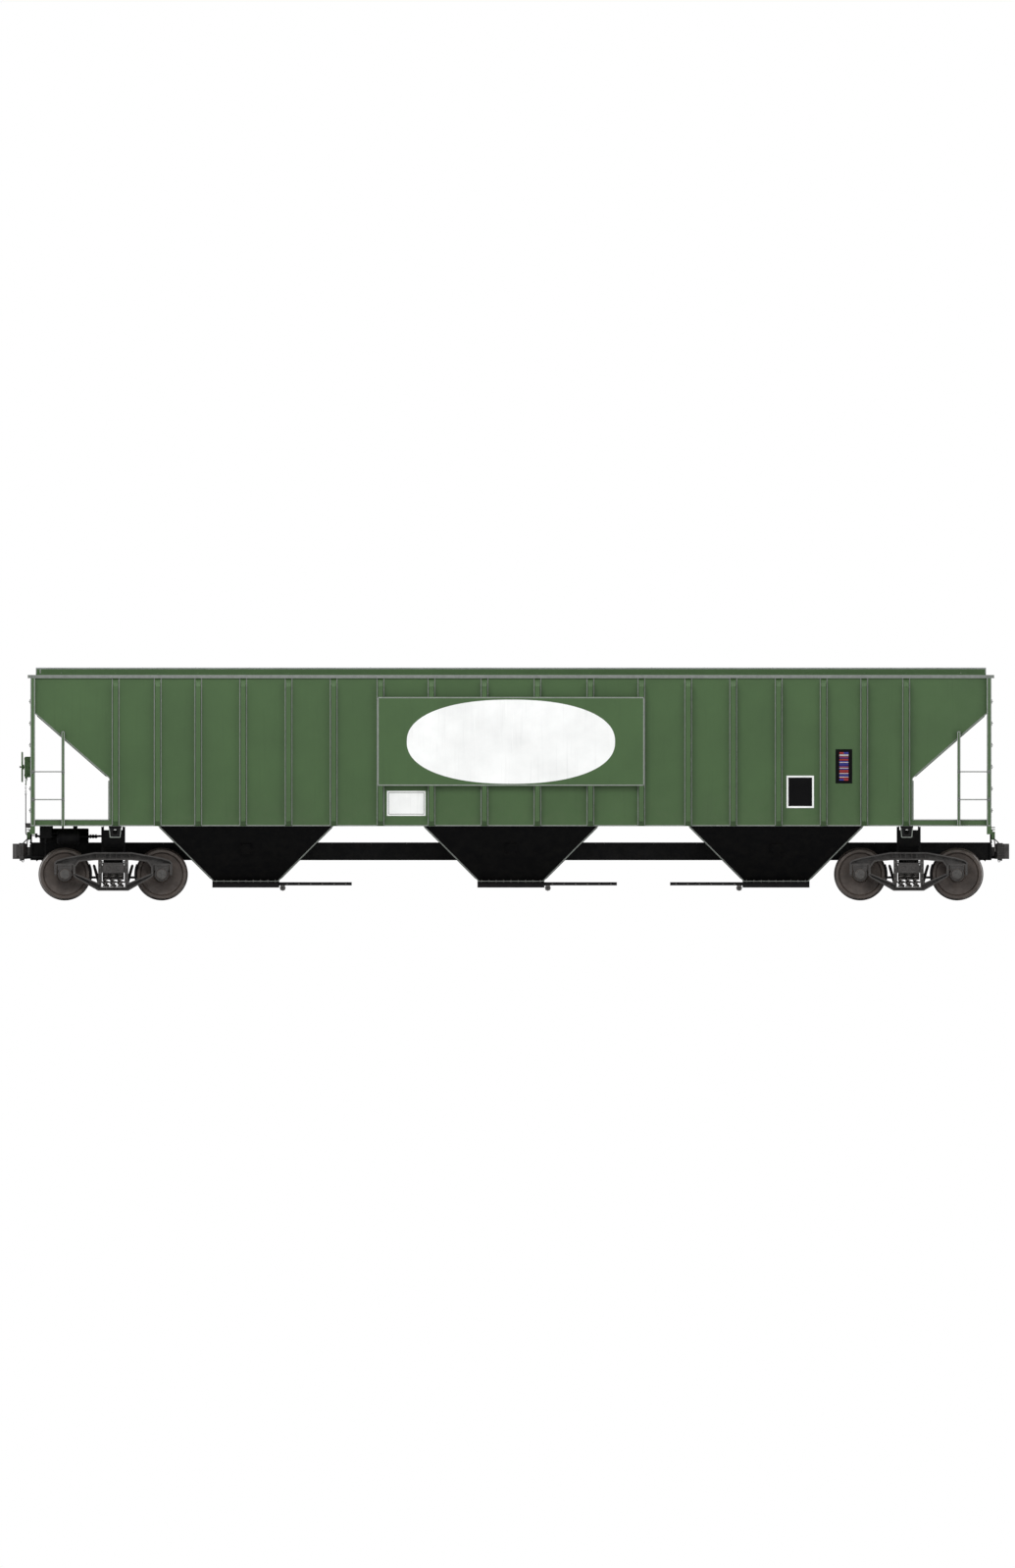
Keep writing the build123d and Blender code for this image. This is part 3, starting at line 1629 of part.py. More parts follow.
def knuckle():
    """Knuckle, shut: a hub between the ears and a taller nose that hooks inwards."""
    hub_span = (coupler_z - knuckle_hub_half_height, coupler_z + knuckle_hub_half_height)
    nose_span = (coupler_z - knuckle_nose_half_height, coupler_z + knuckle_nose_half_height)
    outer_y = knuckle_pivot_side + knuckle_hub_radius - knuckle_ear_gap
    hub = rod_z(knuckle_hub_radius, hub_span, knuckle_x, knuckle_pivot_side)
    neck = prism_z(
        [
            (knuckle_x, knuckle_pivot_side - knuckle_hub_radius + knuckle_ear_gap),
            (nose_back_x, knuckle_pivot_side - knuckle_nose_depth),
            (nose_back_x, outer_y),
            (knuckle_x, outer_y),
        ],
        hub_span,
    )
    nose = prism_z(
        [
            (nose_back_x, knuckle_nose_inner_side),
            (coupler_pull_place - knuckle_fillet, knuckle_nose_inner_side - knuckle_fillet / 2),
            (coupler_pull_place, knuckle_nose_inner_side + knuckle_fillet / 2),
            (coupler_pull_place, knuckle_pivot_side - knuckle_fillet),
            (coupler_pull_place - knuckle_fillet * 2, outer_y),
            (nose_back_x, outer_y),
        ],
        nose_span,
    )
    bore = rod_z(knuckle_pin_radius + pin_gap, hub_span, knuckle_x, knuckle_pivot_side)
    return fuse([hub, neck, nose]) - bore


def turned_end(shape):
    """The same piece at the other end of the car, turned half round about Z."""
    return Rot(0, 0, 180) * shape


one_coupler, one_knuckle = coupler(), knuckle()
save("coupler_a", one_coupler)
save("coupler_b", turned_end(one_coupler))
save("knuckle_a", one_knuckle)
save("knuckle_b", turned_end(one_knuckle))


# Hand brake and air brake gear

brake_box_front_x = -body_half_length - brake_box_depth
brake_wheel_x = brake_box_front_x - brake_wheel_gap


def hand_brake():
    """Brake box on the left end post at the B end, with the spindle of its wheel."""
    box = block(
        (brake_box_front_x, -body_half_length),
        (end_post_y - brake_box_half_width, end_post_y + brake_box_half_width),
        (brake_wheel_z - brake_box_half_height, brake_wheel_z + brake_box_half_height),
    )
    box = chamfer(box.edges().group_by(Axis.X)[0], brake_wheel_rim)
    reach = (brake_wheel_x - 2 * brake_wheel_rim, brake_box_front_x)
    return fuse([box, rod_x(brake_spindle_radius, reach, end_post_y, brake_wheel_z)])


def brake_wheel():
    """Hand wheel on the brake box's spindle."""
    span = (brake_wheel_x - brake_wheel_rim, brake_box_front_x - brake_wheel_clearance)
    hub = rod_x(brake_wheel_hub, span, end_post_y, brake_wheel_z)
    ring_radius = brake_wheel_radius - brake_wheel_rim
    centre = Pos(brake_wheel_x, end_post_y, brake_wheel_z)
    rim = centre * Rot(0, 90, 0) * Torus(ring_radius, brake_wheel_rim)
    bar = Pos(0, 0, ring_radius / 2) * Box(brake_wheel_rim / 2, brake_wheel_rim * 2, ring_radius)
    spokes = [
        centre * Rot(index * 360 / brake_spokes, 0, 0) * bar for index in range(brake_spokes)
    ]
    bore = rod_x(brake_spindle_radius + pin_gap, span, end_post_y, brake_wheel_z)
    return fuse([hub, rim, *spokes]) - bore


def strap(x, y, radius, axis_z):
    """Hanger of a round vessel: a flat strip round it and up to the platform."""
    half = strap_width / 2
    hoop = rod_x(radius + strap_wall, (x - half, x + half), y, axis_z)
    hanger = block(
        (x - half, x + half), (y - radius / 2, y + radius / 2), (axis_z, sill_bottom_z)
    )
    return fuse([hoop, hanger])


def vessel(radius, length, place, y):
    """Round vessel along the car, hung by two straps."""
    axis_z = sill_bottom_z - gear_drop
    span = (-place - length / 2, -place + length / 2)
    shell = rod_x(radius, span, y, axis_z)
    shell = fillet(shell.edges().filter_by(GeomType.CIRCLE), strap_width / 2)
    quarter = length / 4
    return fuse([shell, *[strap(-place + way * quarter, y, radius, axis_z) for way in (-1, 1)]])


def brake_gear():
    """Reservoir, brake cylinder and valve under the B end platform."""
    reservoir = vessel(reservoir_radius, reservoir_length, reservoir_place, reservoir_y)
    cylinder = vessel(cylinder_radius, cylinder_length, cylinder_place, -cylinder_y)
    axis_z = sill_bottom_z - gear_drop
    rod_end_x = -cylinder_place + cylinder_length
    rod = rod_x(strap_wall * 2, (-cylinder_place, rod_end_x), -cylinder_y, axis_z)
    valve_x = -cylinder_place - cylinder_length
    valve = block(
        (valve_x - valve_size / 2, valve_x + valve_size / 2),
        (-cylinder_y - valve_size / 2, -cylinder_y + valve_size / 2),
        (sill_bottom_z - valve_size, sill_bottom_z),
    )
    valve = chamfer(valve.edges().group_by(Axis.Z)[0], strap_width / 2)
    return [reservoir, fuse([cylinder, rod]), valve]


def train_pipe():
    """Brake pipe beside the centre sill, from the A bolster to the angle cock."""
    start = truck_place + bolster_half_length
    end = body_half_length + 2 * strap_width
    pipe = rod_x(train_pipe_radius, (start, end), train_pipe_y, train_pipe_z)
    cock = rod_x(
        2 * train_pipe_radius, (end - 2 * strap_width, end - strap_width / 2), train_pipe_y, train_pipe_z
    )
    hangers = [
        block(
            (x - strap_width / 2, x + strap_width / 2),
            (centre_sill_half_width, train_pipe_y + train_pipe_radius),
            (train_pipe_z - strap_wall, train_pipe_z + strap_wall),
        )
        for x in (start + strap_width * 4, body_half_length - strap_width * 4)
    ]
    return fuse([pipe, cock, *hangers])


save("hand_brake", hand_brake())
save("brake_wheel", brake_wheel())
save("brake_gear", *brake_gear(), train_pipe(), turned_end(train_pipe()))
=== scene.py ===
from math import copysign, cos, hypot, radians, sin, tau

import bmesh
import bpy
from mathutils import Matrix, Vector


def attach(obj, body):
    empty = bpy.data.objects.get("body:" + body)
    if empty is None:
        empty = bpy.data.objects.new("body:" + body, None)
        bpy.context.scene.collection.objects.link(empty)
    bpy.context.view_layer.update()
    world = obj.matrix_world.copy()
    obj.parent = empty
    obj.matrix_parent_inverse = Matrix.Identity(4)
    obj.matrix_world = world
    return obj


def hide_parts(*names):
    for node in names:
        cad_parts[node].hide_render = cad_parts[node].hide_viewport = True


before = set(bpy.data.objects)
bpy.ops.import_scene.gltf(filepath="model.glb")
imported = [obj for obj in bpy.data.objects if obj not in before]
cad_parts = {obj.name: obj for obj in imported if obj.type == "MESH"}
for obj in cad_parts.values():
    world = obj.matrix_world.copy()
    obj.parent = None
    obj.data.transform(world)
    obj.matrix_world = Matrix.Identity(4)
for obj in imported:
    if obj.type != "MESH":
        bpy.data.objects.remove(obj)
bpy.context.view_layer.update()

# Colours, linear
GREEN = (0.050, 0.0975, 0.0345)
LINE_GREY = (0.165, 0.178, 0.160)
BLACK = (0.0045, 0.0045, 0.005)
DEEP_BLACK = (0.0022, 0.0022, 0.0025)
CAST = (0.030, 0.027, 0.025)
WHEEL = (0.060, 0.046, 0.038)
TREAD = (0.32, 0.31, 0.30)
GATE = (0.055, 0.052, 0.048)
# Gates' edge colour: partly rubbed metal, partly a painted highlight
GATE_WEAR_AND_EDGE_HIGHLIGHT = (0.24, 0.23, 0.22)
SPRING = (0.045, 0.040, 0.036)
ZINC = (0.30, 0.31, 0.31)
WHITE = (0.86, 0.86, 0.84)
PALE = (0.80, 0.80, 0.79)
DUST = (0.145, 0.13, 0.10)
RUST = (0.085, 0.045, 0.028)
BAR_COLOURS = {"red": (0.26, 0.004, 0.006), "blue": (0.010, 0.010, 0.20), "white": (0.50, 0.44, 0.46)}

# Directions of the car
UP = (0, 0, 1)
DOWN = (0, 0, -1)
TO_A_END = (1, 0, 0)
TO_B_END = (-1, 0, 0)
TO_RIGHT = (0, -1, 0)
TO_LEFT = (0, 1, 0)

# Sizes in metres that repeat the car's own
POST_PLACES = (0.486, 1.458, 2.394, 3.254, 4.081, 4.914, 5.740, 6.484, 7.256)
POST_WIDTH = 0.108
SHEET_FACE_Y = 1.470
POST_FACE_Y = 1.600
BOARD_FACE_Y = 1.605
BOARD_HALF_LENGTH = 2.448
BOARD_BOTTOM_Z = 2.106
BOARD_TOP_Z = 3.733
STILE_LEFT_X = 8.192
STILE_RIGHT_X = 8.251
STILE_TOP_Z = 3.105
SILL_BOTTOM_Z = 1.364
SILL_TOP_Z = 1.488
CHORD_BOTTOM_Z = 4.080
BODY_HALF_LENGTH = 8.820
ROOF_HALF_LENGTH = 8.720
ROOF_FALL = 0.04144
HATCH_PLACES = (-6.270, -2.090, 2.090, 6.270)
HOPPER_PLACES = (4.866, 0.0, -4.866)
HOPPER_TOP_HALF_LENGTH = 1.607
HOPPER_TOP_HALF_WIDTH = 1.374
OUTLET_HALF_LENGTH = 0.603
OUTLET_HALF_WIDTH = 0.450
OUTLET_TOP_Z = 0.360
BAY_INNER = (7.375, 2.239)
BAY_OUTER = (8.734, 3.424)
BAY_UNDERSIDE_TOP = (8.730, 3.421)
BAY_SLOPE = (BAY_UNDERSIDE_TOP[1] - BAY_INNER[1]) / (BAY_UNDERSIDE_TOP[0] - BAY_INNER[0])
TRUCK_PLACES = {"a": 7.300, "b": -7.300}
HALF_BASE = 0.889
AXLES = {
    "a1": TRUCK_PLACES["a"] + HALF_BASE, "a2": TRUCK_PLACES["a"] - HALF_BASE,
    "b1": TRUCK_PLACES["b"] - HALF_BASE, "b2": TRUCK_PLACES["b"] + HALF_BASE,
}
AXLE_Z = 0.4826
JOURNAL_Y = 1.003
SPINDLE_X = -8.905
SPINDLE_Y = 0.520
CYLINDER_Y = -0.760
RESERVOIR_Y = 0.820
DRUM_Z = 1.174

# Trim in metres
STRIP_WIDTH = 0.020
PANEL_RISE = 0.004
DECK_BOTTOM_Z = 4.249
DECK_TOP_Z = 4.275

# Camera, from the drawing's own pixels
PIXEL = 0.018
FRAME_WIDTH = 1035
FRAME_HEIGHT = 1599
CAR_MIDDLE_X = 521.0
SILL_LINE_Y = 842.5
CAMERA_AWAY = 40.0


def add_object(name, data):
    obj = bpy.data.objects.new(name, data)
    bpy.context.scene.collection.objects.link(obj)
    return obj


def set_camera():
    """Square-on camera at the right side of the car, as the drawing looks at it."""
    data = bpy.data.cameras.new("camera")
    data.type = "ORTHO"
    data.ortho_scale = FRAME_HEIGHT * PIXEL
    data.clip_end = 10 * CAMERA_AWAY
    camera = add_object("camera", data)
    x = (FRAME_WIDTH / 2 - CAR_MIDDLE_X) * PIXEL
    z = SILL_BOTTOM_Z + (SILL_LINE_Y - FRAME_HEIGHT / 2) * PIXEL
    camera.location = (x, -CAMERA_AWAY, z)
    camera.rotation_euler = (radians(90), 0, 0)
    bpy.context.scene.camera = camera


set_camera()


# Materials


def add_node(tree, kind, out, sources, values=(), **settings):
    """Output of a new node that has its settings, linked sources and input values."""
    node = tree.nodes.new("ShaderNode" + kind)
    for name, setting in settings.items():
        setattr(node, name, setting)
    for key, source in sources.items():
        tree.links.new(source, node.inputs[key])
    for key, value in dict(values).items():
        node.inputs[key].default_value = value
    return node.outputs[out]


class Look:
    """A node material: its shader, its object coordinates and short ways to add nodes."""

    def __init__(self, name):
        self.material = bpy.data.materials.new(name)
        self.material.use_nodes = True
        self.tree = self.material.node_tree
        self.shader = self.tree.nodes["Principled BSDF"]
        self.coords = add_node(self.tree, "TexCoord", "Object", {})

    def put(self, key, value):
        self.shader.inputs[key].default_value = value

    def join(self, source, key):
        self.tree.links.new(source, self.shader.inputs[key])

    def stretch(self, scale):
        return add_node(self.tree, "Mapping", "Vector", {"Vector": self.coords}, {"Scale": scale})

    def noise(self, scale, detail, rough, stretch=None):
        source = self.stretch(stretch) if stretch else self.coords
        values = {"Scale": scale, "Detail": detail, "Roughness": rough}
        return add_node(self.tree, "TexNoise", "Fac", {"Vector": source}, values)

    def ramp(self, source, low, high, least=0.0, most=1.0):
        values = {"From Min": low, "From Max": high, "To Min": least, "To Max": most}
        return add_node(self.tree, "MapRange", "Result", {"Value": source}, values)

    def clouds(self, noise, cut, reach=(0.0, 1.0), stretch=None):
        """Mask from noise (scale, detail, roughness), cut between two levels."""
        return self.ramp(self.noise(*noise, stretch), *cut, *reach)

    def height(self):
        return add_node(self.tree, "SeparateXYZ", "Z", {"Vector": self.coords})

    def times(self, first, second):
        return add_node(self.tree, "Math", "Value", {0: first, 1: second}, operation="MULTIPLY")

    def mix(self, factor, first, second):
        """Colour between two colours or colour sockets."""
        node = self.tree.nodes.new("ShaderNodeMix")
        node.data_type = "RGBA"
        self.tree.links.new(factor, node.inputs["Factor"])
        for key, value in (("A", first), ("B", second)):
            socket = [s for s in node.inputs if s.name == key and s.type == "RGBA"][0]
            if isinstance(value, tuple):
                socket.default_value = (*value, 1.0)
            else:
                self.tree.links.new(value, socket)
        return [s for s in node.outputs if s.type == "RGBA"][0]

    def bump(self, noise, distance, strength, under=None):
        sources = {"Height": self.noise(*noise)}
        if under is not None:
            sources["Normal"] = under
        return add_node(self.tree, "Bump", "Normal", sources, {"Distance": distance, "Strength": strength})

    def dull(self, scale, detail, least, most):
        """Roughness that wanders between two values."""
        self.join(self.clouds((scale, detail, 0.6), (0.3, 0.7), (least, most)), "Roughness")

    def grain(self, noise, distance, strength):
        """Fine relief over the whole surface."""
        self.join(self.bump(noise, distance, strength), "Normal")


def shade(colour, factor):
    return tuple(channel * factor for channel in colour)


def paint(name, colour, rough, dust=0.16, waves=0.004, gloss=0.28):
    """Aged enamel: mottled colour, rain streaks, dust low down, soft waves in the sheet."""
    look = Look(name)
    mottle = look.clouds((0.9, 5.0, 0.6), (0.35, 0.68))
    base = look.mix(mottle, shade(colour, 0.93), shade(colour, 1.08))
    streaks = look.clouds((2.2, 6.0, 0.6), (0.56, 0.78), (0.0, 0.28), (9.0, 9.0, 0.35))
    base = look.mix(streaks, base, shade(colour, 0.62))
    faded = look.clouds((3.0, 5.0, 0.65), (0.60, 0.85), (0.0, 0.22), (5.0, 5.0, 0.25))
    base = look.mix(faded, base, shade(colour, 1.55))
    low = look.ramp(look.height(), 0.9, 2.1, dust, 0.0)
    specks = look.clouds((7.0, 8.0, 0.7), (0.40, 0.72))
    look.join(look.mix(look.times(low, specks), base, DUST), "Base Color")
    look.dull(4.0, 6.0, rough - 0.07, rough + 0.10)
    skin = look.bump((160.0, 2.0, 0.5), 0.0006, 0.25)
    look.join(look.bump((1.1, 2.0, 0.4), waves, 0.5, skin), "Normal")
    look.put("Specular IOR Level", gloss)
    return look.material


def worn(name, colour):
    """Rubbed paint and primer on edges and weld beads; on the bevelled edges its lighter tone is also a
    painted highlight.
    """
    look = Look(name)
    patches = look.clouds((14.0, 6.0, 0.7), (0.35, 0.65))
    look.join(look.mix(patches, shade(colour, 0.86), shade(colour, 1.14)), "Base Color")
    look.dull(30.0, 4.0, 0.45, 0.7)
    look.grain((120.0, 4.0, 0.6), 0.0012, 0.5)
    return look.material


def casting(name, colour, rough=0.62, relief=0.0016):
    """Cast or forged steel with a sandy skin, oil-dark low spots and a little rust."""
    look = Look(name)
    patches = look.clouds((5.0, 7.0, 0.65), (0.35, 0.7))
    base = look.mix(patches, shade(colour, 0.75), shade(colour, 1.35))
    rust = look.clouds((11.0, 8.0, 0.7), (0.58, 0.80), (0.0, 0.45))
    look.join(look.mix(rust, base, RUST), "Base Color")
    look.dull(9.0, 5.0, rough - 0.12, rough + 0.14)
    look.grain((140.0, 5.0, 0.65), relief, 0.55)
    return look.material


def bright_steel(name, colour, rough=0.28):
    """Steel worn bright by running, with fine scoring; on the gates' edges the brightness is also a painted
    highlight.
    """
    look = Look(name)
    patches = look.clouds((20.0, 6.0, 0.6), (0.35, 0.7))
    look.join(look.mix(patches, shade(colour, 0.8), shade(colour, 1.1)), "Base Color")
    look.dull(60.0, 5.0, rough - 0.06, rough + 0.12)
    look.grain((300.0, 3.0, 0.5), 0.0004, 0.4)
    look.put("Metallic", 0.9)
    return look.material


def galvanised(name):
    """Zinc-coated walkway steel with its crystalline patches."""
    look = Look(name)
    cells = add_node(look.tree, "TexVoronoi", "Distance", {"Vector": look.coords}, {"Scale": 55.0})
    spangle = look.ramp(cells, 0.0, 0.9)
    base = look.mix(spangle, shade(ZINC, 0.82), shade(ZINC, 1.12))
    tarnish = look.clouds((2.5, 6.0, 0.6), (0.4, 0.75), (0.0, 0.5))
    look.join(look.mix(tarnish, base, shade(ZINC, 0.62)), "Base Color")
    look.dull(18.0, 4.0, 0.42, 0.6)
    look.grain((90.0, 3.0, 0.5), 0.0006, 0.3)
    look.put("Metallic", 0.55)
    return look.material


green = paint("green_enamel", GREEN, 0.46)
# On the bevelled edges of green parts this lighter grey is partly rubbed paint and partly a painted
# highlight; it also colours the grey line parts
edge_grey = worn("grey_wear_and_edge_highlight", LINE_GREY)
black = paint("black_enamel", BLACK, 0.55, dust=0.05, waves=0.003, gloss=0.1)
deep_black = paint("hopper_black", DEEP_BLACK, 0.6, dust=0.03, waves=0.003, gloss=0.06)
line_grey = worn("line_grey", shade(LINE_GREY, 1.28))
# On the bevelled edges of black parts this grey is partly rubbed paint and partly a painted highlight
black_edge = worn("black_wear_and_edge_highlight", shade(LINE_GREY, 0.75))
cast = casting("cast_steel", CAST)
# Castings' bevelled edges, 2.2 times lighter than the casting: partly rubbed metal, partly a painted
# highlight
cast_wear_and_edge_highlight = casting("cast_wear_and_edge_highlight", shade(CAST, 2.2), 0.5)
wheel_steel = casting("wheel_steel", WHEEL, 0.6, 0.0010)
tread_steel = bright_steel("tread_steel", TREAD)
gate_steel = casting("gate_steel", GATE, 0.5, 0.0012)
# Bright steel on the gates' bevelled edges: partly rubbed metal, partly a painted highlight
gate_wear_and_edge_highlight = bright_steel("gate_wear_and_edge_highlight", GATE_WEAR_AND_EDGE_HIGHLIGHT, 0.4)
spring_steel = casting("spring_steel", SPRING, 0.5, 0.0008)
zinc = galvanised("zinc_walkway")
white_paint = paint("white_enamel", WHITE, 0.42, dust=0.0, waves=0.001)


# Mesh building


def around(middle, half):
    """The span that reaches equally far to both sides of a middle."""
    return middle - half, middle + half


def mirrored(side, near, far):
    """A span of two distances on the side that 1 or -1 names."""
    return side * near, side * far


def clear(direction):
    """Two unit vectors square to a direction."""
    helper = Vector(UP) if abs(direction.z) < 0.9 else Vector(TO_A_END)
    first = direction.cross(helper).normalized()
    return first, direction.cross(first).normalized()


def circle(centre, first, second, radius, sides):
    """Points round a centre, in the plane of two unit vectors."""
    angles = [tau * step / sides for step in range(sides)]
    return [centre + radius * cos(a) * first + radius * sin(a) * second for a in angles]


class Build:
    """Points and faces gathered into one object."""

    def __init__(self):
        self.points = []
        self.faces = []

    def add(self, points, faces):
        start = len(self.points)
        self.points += [Vector(point) for point in points]
        self.faces += [tuple(start + index for index in face) for face in faces]

    def box(self, x, y, z):
        x, y, z = sorted(x), sorted(y), sorted(z)
        points = [(a, b, c) for c in z for b in y for a in x]
        faces = [(0, 2, 3, 1), (4, 5, 7, 6), (0, 1, 5, 4), (2, 6, 7, 3), (0, 4, 6, 2), (1, 3, 7, 5)]
        self.add(points, faces)

    def loft(self, rings, caps=True, loop=False):
        """Skin over rings of points that all have the same count."""
        count = len(rings[0])
        points = [point for ring in rings for point in ring]
        faces = []
        last = len(rings) if loop else len(rings) - 1
        for index in range(last):
            low = index * count
            high = ((index + 1) % len(rings)) * count
            for step in range(count):
                after = (step + 1) % count
                faces.append((low + step, low + after, high + after, high + step))
        self.add(points, faces)
        if caps and not loop:
            self.add(rings[0], [tuple(reversed(range(count)))])
            self.add(rings[-1], [tuple(range(count))])

    def rod(self, start, stop, radius, sides=12):
        start, stop = Vector(start), Vector(stop)
        square = clear((stop - start).normalized())
        self.loft([circle(point, *square, radius, sides) for point in (start, stop)])

    def lathe(self, start, way, profile, sides=24, caps=True):
        """Turned form: (distance along, radius) pairs about an axis from a point."""
        start, way = Vector(start), Vector(way).normalized()
        square = clear(way)
        self.loft([circle(start + way * along, *square, radius, sides) for along, radius in profile], caps)

    def bolt(self, seat, way, across, height, tip):
        """Hexagon nut on its washer, with the bolt's end standing out."""
        washer = across * 0.72
        corner = across * 0.577
        thread = across * 0.3
        self.lathe(seat, way, ((0, washer), (0.003, washer)), 12)
        self.lathe(seat, way, ((0.003, corner), (height, corner)), 6)
        if tip:
            self.lathe(seat, way, ((height, thread), (height + tip, thread)), 8)

    def rivet(self, seat, way, radius, height):
        dome = ((0.0, 1.0), (0.5, 0.86), (0.85, 0.52), (1.0, 0.12))
        self.lathe(seat, way, [(height * rise, radius * share) for rise, share in dome], 10)

    def tube(self, path, radius, sides=8, loop=False):
        """Round bar bent along a path."""
        path = [Vector(point) for point in path]
        rings = []
        first = None
        for index, point in enumerate(path):
            before = path[index - 1] if index or loop else point
            after = path[(index + 1) % len(path)] if index < len(path) - 1 or loop else point
            way = (after - before).normalized()
            if first is None:
                first = clear(way)[0]
            first = (first - way * first.dot(way)).normalized()
            rings.append(circle(point, first, way.cross(first), radius, sides))
        self.loft(rings, loop=loop)

    def eye(self, centre, radius, wire, sides=6, count=10, turn=0.63):
        """Upright ring of bar, seen round from the car's side."""
        x, y, z = centre
        angles = [turn * step for step in range(count)]
        path = [(x + radius * cos(a), y, z + radius * sin(a)) for a in angles]
        self.tube(path, wire, sides, True)

    def bead(self, start, stop, face, width, height):
        """Flat-topped strip or weld run on a face, from point to point."""
        start, stop, face = Vector(start), Vector(stop), Vector(face).normalized()
        across = (stop - start).normalized().cross(face)
        shape = ((-0.5, -0.2), (-0.5, 0.35), (-0.3, 1.0), (0.3, 1.0), (0.5, 0.35), (0.5, -0.2))
        self.loft([
            [point + across * width * side + face * height * rise for side, rise in shape]
            for point in (start, stop)
        ])

    def prism(self, outline, plane, levels):
        """Flat outline drawn out along the axis that its plane leaves out."""
        if plane == "xy":
            rings = [[(a, b, level) for a, b in outline] for level in levels]
        else:
            rings = [[(a, level, b) for a, b in outline] for level in levels]
        self.loft(rings)

    def copy(self, x=1, y=1):
        """Adds a copy of all that is there, mirrored in x, in y or in both."""
        start = len(self.points)
        faces = [tuple(start + index for index in face) for face in self.faces]
        if x * y < 0:
            faces = [face[::-1] for face in faces]
        self.points += [Vector((point.x * x, point.y * y, point.z)) for point in self.points]
        self.faces += faces

    def four(self):
        self.copy(y=-1)
        self.copy(x=-1)

    def turned(self):
        """Adds the copy that the other side of the car carries."""
        self.copy(x=-1, y=-1)


def bent(points, radius=0.05, steps=4):
    """A path with its corners rounded off."""
    points = [Vector(point) for point in points]
    path = [points[0]]
    for before, corner, after in zip(points, points[1:], points[2:]):
        back = (before - corner).normalized() * radius
        ahead = (after - corner).normalized() * radius
        for step in range(steps + 1):
            share = step / steps
            path.append(corner + back * (1 - share) ** 2 + ahead * share**2)
    return path + [points[-1]]


def bevel(obj, width, material=-1):
    modifier = obj.modifiers.new("edges", "BEVEL")
    modifier.width = width
    modifier.segments = 2
    modifier.limit_method = "ANGLE"
    modifier.angle_limit = radians(32)
    modifier.harden_normals = True
    modifier.material = material


def smooth(mesh, angle):
    """Smooth shading that breaks at edges sharper than an angle."""
    mesh.polygons.foreach_set("use_smooth", [True] * len(mesh.polygons))
    mesh.set_sharp_from_angle(angle=radians(angle))


def place(name, build, material, body="car_body", edge=0.0):
    """One object from a build, with its finish and the body that carries it."""
    mesh = bpy.data.meshes.new(name)
    mesh.from_pydata([tuple(point) for point in build.points], [], build.faces)
    mesh.materials.append(material)
    tidy = bmesh.new()
    tidy.from_mesh(mesh)
    bmesh.ops.recalc_face_normals(tidy, faces=tidy.faces)
    tidy.to_mesh(mesh)
    tidy.free()
    smooth(mesh, 38)
    obj = add_object(name, mesh)
    if edge:
        bevel(obj, edge)
    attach(obj, body)
    return obj


# CAD nodes: finish, softened edges and a lighter tone on the edges, partly rubbed paint and partly a painted
# highlight

FINISHES = (
    (green, edge_grey, 0.002, "side_sheets roof_sheet hatch_coamings partitions ridges"),
    (green, edge_grey, 0.003, "ladders end_walls end_slope_sheets end_platforms hand_brake brake_wheel"),
    (green, edge_grey, 0.003, "hatch_cover_1 hatch_cover_2 hatch_cover_3 hatch_cover_4 running_boards"),
    (green, edge_grey, 0.004, "side_sills name_boards"),
    (green, edge_grey, 0.005, "end_sills"),
    (green, edge_grey, 0.006, "side_posts_left side_posts_right end_posts"),
    (edge_grey, edge_grey, 0.003, "top_chord"),
    (black, black_edge, 0.002, "springs_a springs_b"),
    (black, black_edge, 0.003, "outlet_frames"),
    (black, black_edge, 0.004, "centre_sill body_bolsters brake_gear brake_beams_a brake_beams_b"),
    (black, black_edge, 0.010, "tow_lugs"),
    (deep_black, black_edge, 0.003, "hopper_a hopper_b hopper_c"),
    (gate_steel, gate_wear_and_edge_highlight, 0.002, "gate_a gate_b gate_c gate_shaft_a gate_shaft_b gate_shaft_c"),
    (cast, cast_wear_and_edge_highlight, 0.004, "bearings_a bearings_b"),
    (cast, cast_wear_and_edge_highlight, 0.008, "side_frames_a side_frames_b coupler_a coupler_b knuckle_a knuckle_b"),
    (cast, cast_wear_and_edge_highlight, 0.010, "truck_bolster_a truck_bolster_b"),
)


def dress(node, material, edge_wear_and_highlight_material, width):
    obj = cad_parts[node]
    mesh = obj.data
    mesh.materials.clear()
    mesh.materials.append(material)
    mesh.materials.append(edge_wear_and_highlight_material)
    mesh.polygons.foreach_set("material_index", [0] * len(mesh.polygons))
    smooth(mesh, 30)
    flat = obj.modifiers.new("flat_faces", "DECIMATE")
    flat.decimate_type = "DISSOLVE"
    flat.angle_limit = radians(0.6)
    flat.delimit = {"MATERIAL"}
    # The bevel faces take the lighter edge material: a painted highlight along every edge, together with
    # rubbed paint
    bevel(obj, width, 1)
    return mesh


def grey_rungs():
    """Rungs in the line colour, apart from their stiles."""
    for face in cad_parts["ladders"].data.polygons:
        if abs(face.center.y) > POST_FACE_Y + 0.0004 or abs(face.center.x) > BODY_HALF_LENGTH + 0.0004:
            face.material_index = 1


def dress_wheelset(axle, x):
    """Dark castings with a bright running face on the treads."""
    dress(f"axle_{axle}", wheel_steel, wheel_steel, 0.003)
    mesh = dress(f"wheels_{axle}", wheel_steel, wheel_steel, 0.003)
    mesh.materials.append(tread_steel)
    for face in mesh.polygons:
        arm = Vector((face.center.x - x, 0, face.center.z - AXLE_Z))
        radial = abs(face.normal.dot(arm.normalized()))
        if 0.444 < arm.length < 0.475 and radial > 0.85:
            face.material_index = 2


for material, edge_wear_and_highlight_material, width, nodes in FINISHES:
    for node in nodes.split():
        dress(node, material, edge_wear_and_highlight_material, width)
grey_rungs()
for axle, x in AXLES.items():
    dress_wheelset(axle, x)


# Outline strips and weld runs on the side, as the drawing shows them


